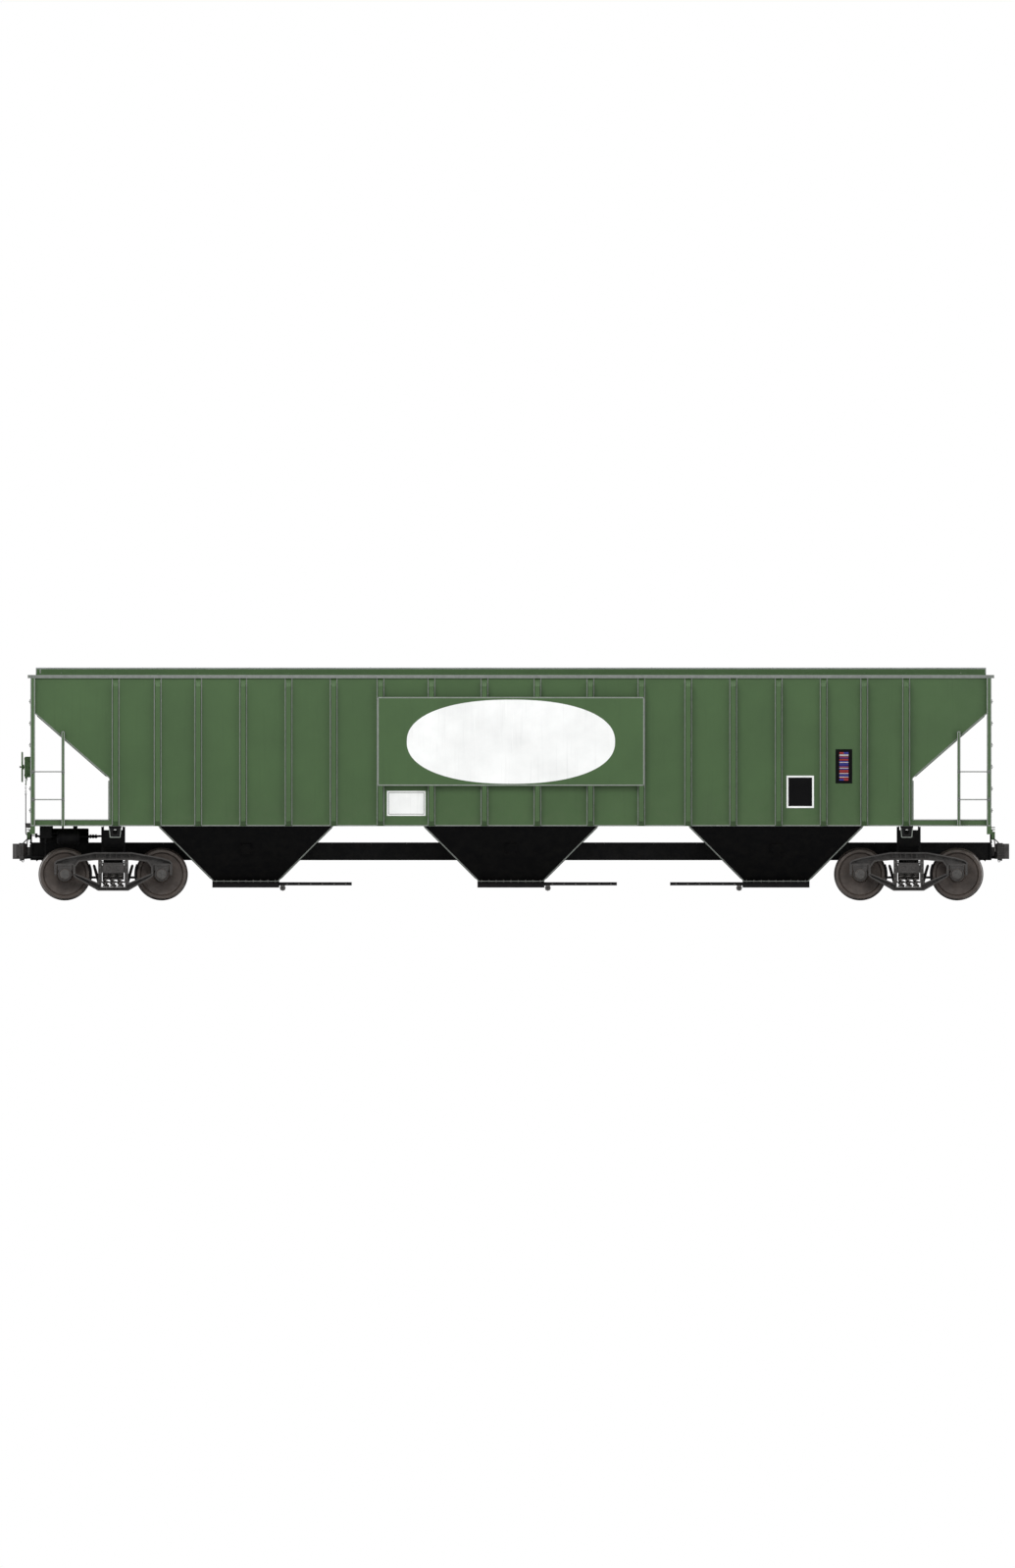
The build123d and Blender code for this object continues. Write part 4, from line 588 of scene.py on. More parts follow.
def strip(build, start, stop, face_y=SHEET_FACE_Y, width=STRIP_WIDTH, proud=0.006):
    """Flat strip between two (x, z) points on a face of the right side."""
    (x0, z0), (x1, z1) = start, stop
    build.bead((x0, -face_y, z0), (x1, -face_y, z1), TO_RIGHT, width, proud)


def side_lines():
    """Edge strips of the sheets, the corner posts, the ladders and the name boards."""
    lines = Build()
    half = STRIP_WIDTH / 2
    low, top = SILL_BOTTOM_Z, CHORD_BOTTOM_Z
    for middle in POST_PLACES:
        for x in around(middle, POST_WIDTH / 2 + 0.006):
            strip(lines, (x, low), (x, top))
    strip(lines, (0, low + half), (BODY_HALF_LENGTH - 0.086, low + half))
    (x0, z0), (x1, z1) = BAY_INNER, BAY_OUTER
    length = hypot(x1 - x0, z1 - z0)
    off_x, off_z = (z0 - z1) / length * half, (x1 - x0) / length * half
    strip(lines, (x0 + off_x, z0 + off_z), (x1 + off_x, z1 + off_z))
    strip(lines, (x0 - half, SILL_TOP_Z), (x0 - half, z0))
    strip(lines, (x0, SILL_TOP_Z - half), (x1, SILL_TOP_Z - half))
    on_post = {"face_y": POST_FACE_Y, "proud": 0.003}
    for x in (x1 + half, BODY_HALF_LENGTH - half):
        strip(lines, (x, low), (x, top), **on_post)
    strip(lines, (x1, low + half), (BODY_HALF_LENGTH, low + half), **on_post)
    for x in (STILE_LEFT_X + 0.008, STILE_RIGHT_X - 0.008):
        strip(lines, (x, low), (x, STILE_TOP_Z), width=0.016, **on_post)
    z = STILE_TOP_Z - 0.008
    strip(lines, (STILE_LEFT_X, z), (STILE_RIGHT_X, z), width=0.016, **on_post)
    on_board = {"face_y": BOARD_FACE_Y, "proud": 0.003}
    for z in (BOARD_BOTTOM_Z + half, BOARD_TOP_Z - half):
        strip(lines, (0, z), (BOARD_HALF_LENGTH, z), **on_board)
    x = BOARD_HALF_LENGTH - half
    strip(lines, (x, BOARD_BOTTOM_Z), (x, BOARD_TOP_Z), **on_board)
    lines.four()
    place("side_edge_strips", lines, line_grey)


def hopper_lines():
    """Welds down the four corners of each hopper and the edges of its outlet's flange."""
    lines = Build()
    for centre in HOPPER_PLACES:
        for side in (-1, 1):
            for end in (-1, 1):
                top_x = centre + end * (HOPPER_TOP_HALF_LENGTH - 0.012)
                low_x = centre + end * (OUTLET_HALF_LENGTH - 0.012)
                top = (top_x, side * HOPPER_TOP_HALF_WIDTH, SILL_BOTTOM_Z)
                low = (low_x, side * OUTLET_HALF_WIDTH, OUTLET_TOP_Z)
                lines.bead(top, low, (0, side, -0.9), 0.024, 0.006)
            left, right = around(centre, 0.6145)
            y = side * 0.520
            lines.bead((left, y, 0.354), (right, y, 0.354), (0, side, 0), 0.012, 0.003)
    place("hopper_corner_welds", lines, line_grey)


def lug_lines():
    """Rubbed edges of the towing lugs, a little inside their corners."""
    lines = Build()
    middle = Vector((7.265, -1.441, 1.26))
    points = []
    for x, z in ((-0.119, 1.346), (-0.101, 1.150), (0.101, 1.150), (0.119, 1.346)):
        corner = Vector((middle.x + x, middle.y, z))
        points.append(corner + (middle - corner).normalized() * 0.013)
    for start, stop in zip(points, points[1:]):
        lines.bead(start, stop, TO_RIGHT, 0.014, 0.0025)
    lines.four()
    place("lug_edges", lines, line_grey)


side_lines()
hopper_lines()
lug_lines()


# Painted panels


def oval():
    """White oval on each name board, fuller than an ellipse."""
    half_length, half_height, middle_z = 1.912, 0.772, 2.914
    power = 2 / 2.25
    count = 128
    outline = []
    for step in range(count):
        angle = tau * step / count
        c, s = cos(angle), sin(angle)
        x = half_length * copysign(abs(c) ** power, c)
        z = middle_z + half_height * copysign(abs(s) ** power, s)
        outline.append((x, z))
    disc = Build()
    disc.prism(outline, "xz", (-BOARD_FACE_Y - 0.0012, -BOARD_FACE_Y + 0.001))
    disc.turned()
    place("white_ovals", disc, white_paint)


def border(build, x, z, width, y):
    """Flat border laid on a panel."""
    (x0, x1), (z0, z1) = x, z
    build.box(x, y, (z0, z0 + width))
    build.box(x, y, (z1 - width, z1))
    build.box((x0, x0 + width), y, (z0 + width, z1 - width))
    build.box((x1 - width, x1), y, (z0 + width, z1 - width))


def panels():
    """White panel with a grey line, black panel with a white border, black ground of the label."""
    face = -SHEET_FACE_Y
    sheet = (face - PANEL_RISE, face)
    black_x, black_z = (5.058, 5.562), (1.697, 2.291)
    white, line, dark = Build(), Build(), Build()
    white.box((-2.277, -1.566), sheet, (1.553, 2.012))
    border(white, black_x, black_z, 0.034, (face - 0.0065, face - PANEL_RISE))
    border(line, (-2.250, -1.593), (1.580, 1.985), 0.010, (face - 0.005, face - PANEL_RISE))
    dark.box(black_x, sheet, black_z)
    dark.box((5.958, 6.264), sheet, (2.147, 2.777))
    for build in (white, line, dark):
        build.turned()
    place("white_panels", white, white_paint, edge=0.001)
    place("panel_border_lines", line, edge_grey)
    place("black_panels", dark, deep_black, edge=0.001)


oval()
panels()


# Roof walkways: grating in place of the plain boards


def roof_z(y):
    """Top of the roof's slope."""
    return 4.191 - ROOF_FALL * (abs(y) - 0.330)


def grating():
    """Bars along the car, cross bars, splices and the two end crossings."""
    low, high = DECK_BOTTOM_Z, DECK_TOP_Z
    inner, outer = 0.480, 0.894
    gap = (inner + 0.006, outer)
    cross = (high - 0.009, high - 0.001)
    bars = Build()
    for y in (inner, outer):
        bars.box(around(0, ROOF_HALF_LENGTH), (y, y + 0.006), (low, high))
    for step in range(1, 14):
        y = around(0.483 + 0.0296 * step, 0.002)
        bars.box(around(0, ROOF_HALF_LENGTH - 0.006), y, (low + 0.002, high - 0.002))
    for step in range(171):
        bars.box(around(-8.66 + 0.102 * step, 0.003), gap, cross)
    for splice in (-5.80, -2.90, 0.0, 2.90, 5.80):
        for x in around(splice, 0.008):
            bars.box(around(x, 0.003), gap, (low, high - 0.0005))
    for x in (-ROOF_HALF_LENGTH, ROOF_HALF_LENGTH - 0.006):
        bars.box((x, x + 0.006), gap, (low, high))
    bars.copy(y=-1)
    for end in (-1, 1):
        for step in range(11):
            edge = step in (0, 10)
            x = around(end * (8.423 + 0.0294 * step), 0.003 if edge else 0.002)
            bars.box(x, around(0, inner), (low, high if edge else high - 0.002))
        for step in range(-4, 5):
            bars.box(mirrored(end, 8.426, 8.714), around(0.102 * step, 0.003), cross)
    grate = place("walkway_grating", bars, zinc)
    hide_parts("running_boards")


def walkway_legs():
    """Bridge brackets under the grating, bolted to the roof and to the grating."""
    low = DECK_BOTTOM_Z
    legs, bolts = Build(), Build()
    for index in range(11):
        x = (index / 5 - 1) * 8.680
        along = around(x, 0.020)
        legs.box(along, (0.520, 0.860), (low - 0.005, low))
        for y, way in ((0.520, 1), (0.860, -1)):
            foot = roof_z(y)
            legs.box(along, (y, y + way * 0.005), (foot - 0.001, low))
            legs.box(along, (y, y + way * 0.045), (foot - 0.002, foot + 0.004))
            bolts.bolt((x, y + way * 0.026, foot + 0.004), UP, 0.016, 0.010, 0.006)
            bolts.bolt((x, y + way * 0.060, low - 0.005), DOWN, 0.014, 0.008, 0.004)
    legs.copy(y=-1)
    bolts.copy(y=-1)
    place("walkway_brackets", legs, zinc, edge=0.0008)
    place("walkway_bolts", bolts, zinc)


grating()
walkway_legs()


# Truck springs: wound coils in place of the plain columns


def coil(build, x, y, radius, wire, turns, hand):
    """Spring wire: a flat turn at each end and an even rise between them."""
    bottom, top = 0.250, 0.500
    flat = 0.9 / turns
    path = []
    count = int(turns * 18)
    for step in range(count + 1):
        share = step / count
        angle = hand * tau * turns * share
        body = min(max((share - flat) / (1 - 2 * flat), 0.0), 1.0)
        start = wire * 0.5 * min(share / flat, 1.0)
        finish = wire * 0.5 * max((share - 1 + flat) / flat, 0.0)
        z = bottom + wire + start + (top - bottom - 3 * wire) * body + finish
        path.append((x + radius * cos(angle), y + radius * sin(angle), z))
    build.tube(path, wire, 7)


def springs(letter):
    coils = Build()
    for side in (-1, 1):
        for step in (-1, 0, 1):
            x, y = TRUCK_PLACES[letter] + 0.134 * step, side * JOURNAL_Y
            coil(coils, x, y, 0.050, 0.0135, 5.2, 1)
            coil(coils, x, y, 0.024, 0.0085, 7.5, -1)
    obj = place(f"coil_springs_{letter}", coils, spring_steel, f"truck_{letter}")
    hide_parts(f"springs_{letter}")


for letter in TRUCK_PLACES:
    springs(letter)


# Identification panel with bars in no code's order


def coded_panel():
    bars = {name: Build() for name in BAR_COLOURS}
    rows = (
        ("blue", "red"), ("red", "white"), ("blue", "blue"), ("white", "red"), ("red", "red"),
        ("blue", "white"), ("red", "blue"), ("blue", "blue"), ("white", "blue"), ("red", "red"),
        ("blue", "red"), ("white", "white"), ("red", "blue"),
    )
    y = (-SHEET_FACE_Y - 0.0055, -SHEET_FACE_Y - PANEL_RISE)
    left, middle, right = 6.029, 6.110, 6.195
    for row, (first, second) in enumerate(rows):
        z = 2.202 + 0.0408 * row
        if row in (0, len(rows) - 1):
            bars[first].box((left, middle), y, (z, z + 0.030))
            bars[second].box((middle, right), y, (z, z + 0.030))
        else:
            bars[first].box((left, right), y, (z, z + 0.013))
            bars[second].box((left, right), y, (z + 0.017, z + 0.030))
    for name, build in bars.items():
        build.turned()
        place(f"{name}_bars", build, worn(f"{name}_bar", BAR_COLOURS[name]))


coded_panel()


# Hatches: battens' rivets and hold-downs on the covers, hasps along the coaming's right side


def hatch_fittings():
    hasps = Build()
    for number, middle in enumerate(HATCH_PLACES, start=1):
        bars = Build()
        for step in range(-3, 4):
            for y in (-0.285, -0.150, 0.0, 0.150, 0.235):
                bars.rivet((middle + step * 3.980 / 7, y, 4.2723), UP, 0.009, 0.0035)
        for step in (-1.5, -0.5, 0.5, 1.5):
            x = middle + step * 0.98
            bars.box(around(x, 0.020), (-0.318, -0.190), (4.2543, 4.2603))
            bars.box(around(x, 0.016), (-0.327, -0.312), (4.234, 4.2603))
            bars.rod((x - 0.030, -0.322, 4.236), (x + 0.030, -0.322, 4.236), 0.006, 8)
            for lug in around(x, 0.027):
                hasps.box(around(lug, 0.003), (-0.345, -0.300), (4.195, 4.228))
            hasps.rod((x - 0.034, -0.334, 4.214), (x + 0.034, -0.334, 4.214), 0.006, 8)
            hasps.tube(((x, -0.334, 4.214), (x, -0.350, 4.226), (x, -0.352, 4.247)), 0.006)
            hasps.bolt((x, -0.352, 4.247), UP, 0.018, 0.012, 0.004)
        place(f"hatch_fittings_{number}", bars, green, f"hatch_{number}", edge=0.0012)
    place("hatch_hasps", hasps, zinc)


hatch_fittings()


# Bolted flanges round the outlets and brackets on the hopper slopes


def side_slope(side, z, out):
    """Point (y, z) that stands out from a hopper's side slope."""
    fall = (HOPPER_TOP_HALF_WIDTH - OUTLET_HALF_WIDTH) / (SILL_BOTTOM_Z - OUTLET_TOP_Z)
    return side * (OUTLET_HALF_WIDTH + (z - OUTLET_TOP_Z) * fall + out), z - out * 0.75


def outlet_fittings():
    bolts, plates = Build(), Build()
    for centre in HOPPER_PLACES:
        for side in (-1, 1):
            for step in range(-4, 5):
                x, y = centre + step * 0.135, side * 0.492
                bolts.bolt((x, y, 0.360), UP, 0.022, 0.014, 0.008)
                bolts.bolt((x, y, 0.348), DOWN, 0.022, 0.014, 0.006)
            outline = ((0.86, 0.0), (1.04, 0.0), (1.04, 0.014), (0.86, 0.014))
            corners = [side_slope(side, z, out) for z, out in outline]
            plates.loft([[(x, y, z) for y, z in corners] for x in around(centre, 0.11)])
            for x in around(centre, 0.08):
                for z in (0.89, 1.01):
                    plates.bolt((x, *side_slope(side, z, 0.014)), (0, side, -0.92), 0.020, 0.012, 0.006)
    place("outlet_flange_bolts", bolts, gate_steel)
    place("vibrator_brackets", plates, deep_black, edge=0.002)


outlet_fittings()


# End fittings: uncoupling levers, handholds and the hand brake's chain and rod


def uncoupling_levers():
    lever, seats = Build(), Build()
    path = (
        (8.955, -0.205, 1.050), (8.900, -0.235, 1.105), (8.868, -0.290, 1.135), (8.868, -0.600, 1.135),
        (8.868, -1.180, 1.135), (8.872, -1.260, 1.120), (8.880, -1.300, 1.060), (8.884, -1.310, 0.900),
    )
    lever.tube(path, 0.011, 10)
    lever.eye((8.955, -0.205, 1.034), 0.018, 0.006)
    for y in (-0.420, -1.120):
        seats.box((8.818, 8.830), around(y, 0.045), (1.225, 1.300))
        seats.box((8.818, 8.885), around(y, 0.006), (1.112, 1.262))
        for bolt_y in around(y, 0.028):
            seats.bolt((8.830, bolt_y, 1.278), TO_A_END, 0.020, 0.012, 0.006)
    lever.turned()
    seats.turned()
    place("uncoupling_levers", lever, cast)
    place("lever_brackets", seats, green, edge=0.002)


def grab_irons():
    """Two handholds on each end and one on each roof corner."""
    grips = Build()
    wall, bend, out = BODY_HALF_LENGTH, 8.868, 8.880
    for y0, y1, z in ((0.240, 0.760, 1.300), (-1.380, -0.980, 1.340)):
        grips.tube((
            (wall, y0, z), (bend, y0, z), (out, y0 + 0.012, z),
            (out, y1 - 0.012, z), (bend, y1, z), (wall, y1, z),
        ), 0.010)
    roof = ((1.100, 4.148), (1.100, 4.225), (1.112, 4.236), (1.388, 4.236), (1.400, 4.225), (1.400, 4.140))
    grips.tube([(8.640, y, z) for y, z in roof], 0.010)
    grips.turned()
    place("grab_irons", grips, edge_grey)


def hand_brake_chain():
    """Nine links, the rod below them and the pinned bracket at its foot."""
    chain = Build()
    x, y = SPINDLE_X, SPINDLE_Y
    for link in range(9):
        z = 2.235 - 0.034 * link
        path = []
        for step in range(12):
            angle = tau * step / 12
            across = 0.011 * cos(angle)
            spot = (x + across, y) if link % 2 else (x, y + across)
            path.append((*spot, z + 0.022 * sin(angle)))
        chain.tube(path, 0.004, 6, True)
    chain.rod((x, y, 1.940), (x, y, 1.420), 0.009, 10)
    chain.eye((x, y, 1.950), 0.014, 0.005)
    chain.box(around(x, 0.012), around(y, 0.030), (1.395, 1.425))
    for cheek in around(y, 0.045):
        chain.box((x - 0.010, -BODY_HALF_LENGTH), around(cheek, 0.005), (1.340, 1.420))
    chain.rod((x, y - 0.056, 1.400), (x, y + 0.056, 1.400), 0.010, 10)
    place("hand_brake_chain", chain, cast)


uncoupling_levers()
grab_irons()
hand_brake_chain()


# Trucks: bearing ends, cast ribs, bolts and the shoe rigging


def truck_parts(letter):
    """Ribs, wear plates, wedges, seals, window rims, side bearing seats and their bolts."""
    middle = TRUCK_PLACES[letter]
    body = f"truck_{letter}"
    face = JOURNAL_Y + 0.075
    parts, bolts = Build(), Build()
    ribs = (
        (0.060, 0.764, 0.862), (0.150, 0.764, 0.862), (0.300, 0.764, 0.862),
        (0.120, 0.200, 0.228), (0.000, 0.200, 0.228),
    )
    window = (
        (-0.196, 0.196, 0.500, 0.518), (-0.196, 0.196, 0.672, 0.690),
        (-0.196, -0.176, 0.518, 0.672), (0.176, 0.196, 0.518, 0.672), (-0.008, 0.008, 0.518, 0.672),
    )
    wedge = ((0.194, 0.520), (0.207, 0.500), (0.207, 0.655), (0.194, 0.640))
    seal = ((0.0, 0.118), (0.004, 0.1185), (0.0065, 0.114), (0.0065, 0.101), (0.0, 0.101))
    rim = ((0.0, 0.046), (0.007, 0.045), (0.007, 0.036), (0.0005, 0.034))
    for side in (-1, 1):
        way = (0, side, 0)
        for end in (-1, 1):
            for x, low, high in ribs:
                parts.box(around(middle + end * x, 0.006), mirrored(side, 0.986, 1.068), (low, high))
            for z in (0.400, 0.500, 0.600, 0.690):
                bolts.bolt((middle + end * 0.246, side * face, z), way, 0.026, 0.016, 0.006)
            wear = (middle + end * 0.207, middle + end * 0.2155)
            parts.box(wear, mirrored(side, 0.935, 1.071), (0.330, 0.735))
            outline = [(middle + end * x, z) for x, z in wedge]
            parts.prism(outline, "xz", mirrored(side, 0.945, 1.061))
            axle_x = middle + end * HALF_BASE
            parts.lathe((axle_x, side * 1.083, AXLE_Z), way, seal, 40, False)
            for x in around(axle_x, 0.121):
                parts.box(around(x, 0.011), mirrored(side, 1.076, 1.088), (0.560, 0.648))
            parts.box(around(axle_x, 0.120), mirrored(side, 1.076, 1.086), (0.630, 0.648))
            for x in around(axle_x, 0.172):
                bolts.bolt((x, side * face, 0.500), way, 0.024, 0.014, 0.005)
            key = axle_x - end * 0.150
            parts.box((key - 0.010, key + 0.022 * end), mirrored(side, 0.960, 1.050), (0.462, 0.476))
        for x0, x1, z0, z1 in window:
            parts.box((middle + x0, middle + x1), mirrored(side, 1.090, 1.103), (z0, z1))
        for x in around(middle, 0.090):
            parts.lathe((x, side * 1.0915, 0.595), way, rim, 24, False)
        parts.box(around(middle, 0.152), mirrored(side, 0.585, 0.685), (0.688, 0.702))
        for x in around(middle, 0.133):
            bolts.bolt((x, side * 0.635, 0.702), UP, 0.030, 0.010, 0.0)
    place(f"truck_cast_details_{letter}", parts, cast, body, edge=0.0025)
    place(f"truck_bolts_{letter}", bolts, gate_steel, body)


def shoe_rigging(letter):
    """Levers and the rod under the truck bolster that join the two brake beams."""
    middle = TRUCK_PLACES[letter]
    foot_x, foot_z = 0.262, 0.335
    rig = Build()
    for end in (-1, 1):
        foot = Vector((middle + end * foot_x, 0, foot_z))
        head = Vector((middle + end * 0.352, 0, 0.640))
        across = Vector((0.03, 0, -0.009 * end))
        corners = (foot - across, foot + across, head + across * 0.8, head - across * 0.8)
        outline = [(corner.x, corner.z) for corner in corners]
        for y in (-0.032, 0.032):
            rig.prism(outline, "xz", around(y, 0.006))
        for (x, _, z), size in ((foot, 0.013), (head, 0.012), (foot.lerp(head, 0.30), 0.014)):
            rig.rod((x, -0.058, z), (x, 0.058, z), size)
            rig.rod((x, -0.052, z), (x, -0.047, z), size * 1.7)
        rig.box((middle + end * 0.225, middle + end * 0.290), (-0.022, 0.022), (0.318, 0.352))
    rig.rod((middle - foot_x, 0, foot_z), (middle + foot_x, 0, foot_z), 0.014)
    place(f"shoe_rigging_{letter}", rig, cast, f"truck_{letter}", edge=0.0015)


def axle_ends(axle, x):
    """Cap screws and locking plates, which turn with the wheelset."""
    ends = Build()
    for side in (-1, 1):
        way = (0, side, 0)
        face_y = side * 1.1205
        ends.lathe((x, side * 1.114, AXLE_Z), way, ((0.0, 0.088), (0.004, 0.084), (0.004, 0.070)), 36)
        plate = []
        for corner in range(3):
            middle = tau * corner / 3
            for angle in around(middle, 0.30):
                plate.append((x + 0.078 * cos(angle), AXLE_Z + 0.078 * sin(angle)))
            spot = (x + 0.055 * cos(middle), face_y, AXLE_Z + 0.055 * sin(middle))
            ends.bolt(spot, way, 0.034, 0.020, 0.0)
        ends.prism(plate, "xz", (side * 1.1175, face_y))
        ends.lathe((x, face_y, AXLE_Z), way, ((0.0, 0.016), (0.006, 0.015), (0.009, 0.009)), 16)
    place(f"axle_end_caps_{axle}", ends, gate_steel, f"wheelset_{axle}")


for letter in TRUCK_PLACES:
    truck_parts(letter)
    shoe_rigging(letter)
for axle, x in AXLES.items():
    axle_ends(axle, x)


# Ends of the body: stiffeners, tread pattern, ladder feet, coupler mouths


def bay_point(x, y):
    """Point on the lower face of the sloping end sheet."""
    return x, y, BAY_INNER[1] + BAY_SLOPE * (x - BAY_INNER[0])


def end_stiffeners():
    ribs = Build()
    under = (BAY_SLOPE, 0, -1)
    for y in (-1.20, -0.80, -0.30, 0.30, 0.80, 1.20):
        ribs.bead(bay_point(7.42, y), bay_point(8.69, y), under, 0.050, 0.012)
        ribs.bead((BAY_INNER[0], y, 1.374), (BAY_INNER[0], y, 2.200), TO_A_END, 0.050, 0.016)
    for x in (7.76, 8.30):
        ribs.bead(bay_point(x, -1.455), bay_point(x, 1.455), under, 0.060, 0.013)
    for z in (3.60, 3.84):
        for y in ((-1.462, -0.567), (-0.473, 0.473), (0.567, 1.462)):
            ribs.box((8.736, 8.760), y, (z, z + 0.006))
            ribs.box((8.754, 8.760), y, (z, z + 0.060))
            ribs.box((8.736, 8.760), y, (z + 0.054, z + 0.060))
    ribs.copy(x=-1)
    place("end_stiffeners", ribs, green, edge=0.002)


def tread_plate():
    """Raised lozenges on the two end platforms, their long ways crossed in turn."""
    marks = Build()
    top, pitch = 1.3720, 0.040
    for row in range(33):
        x = 7.420 + pitch * row
        for step in range(-33, 34):
            y = pitch * step
            a, b = (0.015, 0.0045) if (step + row) % 2 else (0.0045, 0.015)
            c, s = 0.7071 * a, 0.7071 * b
            points = (
                (x + c, y + c, top), (x - s, y + s, top), (x - c, y - c, top), (x + s, y - s, top),
                (x, y, top + 0.0024),
            )
            marks.add(points, [(0, 1, 4), (1, 2, 4), (2, 3, 4), (3, 0, 4)])
    marks.copy(x=-1)
    place("platform_tread", marks, green)


def ladder_feet():
    """Foot plates of the side ladders and of the end ladders, each with two bolts."""
    side_feet, side_bolts = Build(), Build()
    end_feet, end_bolts = Build(), Build()
    bolt_size = (0.017, 0.009, 0.003)
    for z in (1.852, 2.363):
        for x in (8.2215, 8.777):
            side_feet.box(around(x, 0.016), (-POST_FACE_Y - 0.004, -POST_FACE_Y), around(z, 0.038))
            for bolt_z in around(z, 0.026):
                side_bolts.bolt((x, -POST_FACE_Y - 0.004, bolt_z), TO_RIGHT, *bolt_size)
    for index in range(6):
        z = 1.652 + 0.400 * index
        for y in (-1.055, -1.532):
            end_feet.box((BODY_HALF_LENGTH, BODY_HALF_LENGTH + 0.004), around(y, 0.016), around(z, 0.038))
            for bolt_z in around(z, 0.026):
                end_bolts.bolt((BODY_HALF_LENGTH + 0.004, y, bolt_z), TO_A_END, *bolt_size)
    side_feet.four()
    side_bolts.four()
    end_feet.turned()
    end_bolts.turned()
    place("ladder_feet", side_feet, green, edge=0.0008)
    place("ladder_bolts", side_bolts, edge_grey)
    place("end_ladder_feet", end_feet, green, edge=0.0008)
    place("end_ladder_bolts", end_bolts, edge_grey)


def striker_fittings():
    """Rim round the coupler's mouth, rivets beside it and the carrier's bolts."""
    rim = Build()
    face = BODY_HALF_LENGTH
    for y0, y1, z0, z1 in (
        (-0.185, 0.185, 1.007, 1.030), (-0.185, 0.185, 0.774, 0.797),
        (-0.185, -0.157, 0.797, 1.007), (0.157, 0.185, 0.797, 1.007),
    ):
        rim.box((face, face + 0.012), (y0, y1), (z0, z1))
    for y in (-0.222, 0.222):
        for z in (0.790, 0.880, 0.970, 1.060, 1.150):
            rim.rivet((face, y, z), TO_A_END, 0.015, 0.011)
    for y in (-0.110, 0.0, 0.110):
        for z in (1.085, 1.165):
            rim.rivet((face, y, z), TO_A_END, 0.013, 0.010)
    for y in (-0.125, 0.125):
        for x in (8.425, 8.575):
            rim.bolt((x, y, 0.739), DOWN, 0.030, 0.016, 0.008)
    for y in (-0.195, 0.195):
        for x in (8.30, 8.40, 8.60, 8.70):
            rim.bolt((x, y, 0.739), DOWN, 0.026, 0.014, 0.006)
    rim.copy(x=-1)
    place("striker_fittings", rim, black, edge=0.002)


end_stiffeners()
tread_plate()
ladder_feet()
striker_fittings()


# Roof seams, the ends of the roof's side strip and the plates along its edges


def roof_lines():
    seams, ends = Build(), Build()
    inner, outer = 0.372, 1.432
    for x in POST_PLACES:
        seams.bead((x, inner, roof_z(inner)), (x, outer, roof_z(outer)), (0, ROOF_FALL, 1), 0.034, 0.004)
    seams.bead((0, 1.468, 4.1445), (8.716, 1.468, 4.1445), UP, 0.014, 0.003)
    seams.four()
    place("roof_seams", seams, green)
    ends.bead((8.710, -0.900, 4.165), (8.710, -0.900, 4.249), TO_RIGHT, 0.020, 0.003)
    ends.four()
    place("roof_strip_ends", ends, edge_grey)


def roof_edges():
    """Low lip along the roof's edge and toe plates under the running boards' outer edges."""
    lips = Build()
    along = around(0, ROOF_HALF_LENGTH)
    lips.box(along, (-1.446, -1.442), (4.140, 4.166))
    lips.box(along, (-1.446, -1.420), (4.1455, 4.1490))
    lips.box((-8.255, 8.255), (-0.899, -0.894), (4.1685, DECK_BOTTOM_Z))
    lips.copy(y=-1)
    place("roof_edges", lips, green)


roof_lines()
roof_edges()


# Underframe: web stiffeners, brake pipes, levers and rods


def bolster_stiffeners():
    ribs = Build()
    for side in (-1, 1):
        for y, low in ((0.300, 0.745), (0.560, 0.745), (0.850, 0.872), (1.120, 1.104)):
            for x in ((7.478, 7.520), (7.080, 7.122)):
                ribs.box(x, around(side * y, 0.005), (low, 1.354))
    ribs.copy(x=-1)
    place("bolster_stiffeners", ribs, black, edge=0.0015)


def brake_pipes():
    """Pipes between the valve, the reservoir, the cylinder and the train pipe, with unions."""
    pipes = Build()
    for path in (
        ((-8.500, -0.648, 1.225), (-8.500, 0.676, 1.225)),
        ((-8.580, -0.648, 1.175), (-8.580, -0.300, 1.175), (-8.420, 0.300, 1.175), (-8.420, 0.672, 1.175)),
        ((-8.432, CYLINDER_Y, 1.235), (-8.320, CYLINDER_Y, 1.235)),
        ((-8.540, -0.700, 1.146), (-8.540, -0.700, 1.060), (-8.540, -0.330, 1.060), (-8.540, -0.330, 0.812)),
    ):
        pipes.tube(bent(path), 0.0135, 10)
    for spot, way in (
        ((-8.500, -0.650, 1.225), TO_LEFT), ((-8.500, 0.660, 1.225), TO_LEFT),
        ((-8.580, -0.650, 1.175), TO_LEFT), ((-8.420, 0.655, 1.175), TO_LEFT),
        ((-8.430, CYLINDER_Y, 1.235), TO_A_END), ((-8.345, CYLINDER_Y, 1.235), TO_A_END),
        ((-8.540, -0.700, 1.120), UP), ((-8.540, -0.330, 0.812), UP),
    ):
        pipes.lathe(spot, way, ((0.0, 0.023), (0.024, 0.023)), 6)
    place("brake_pipes", pipes, black)


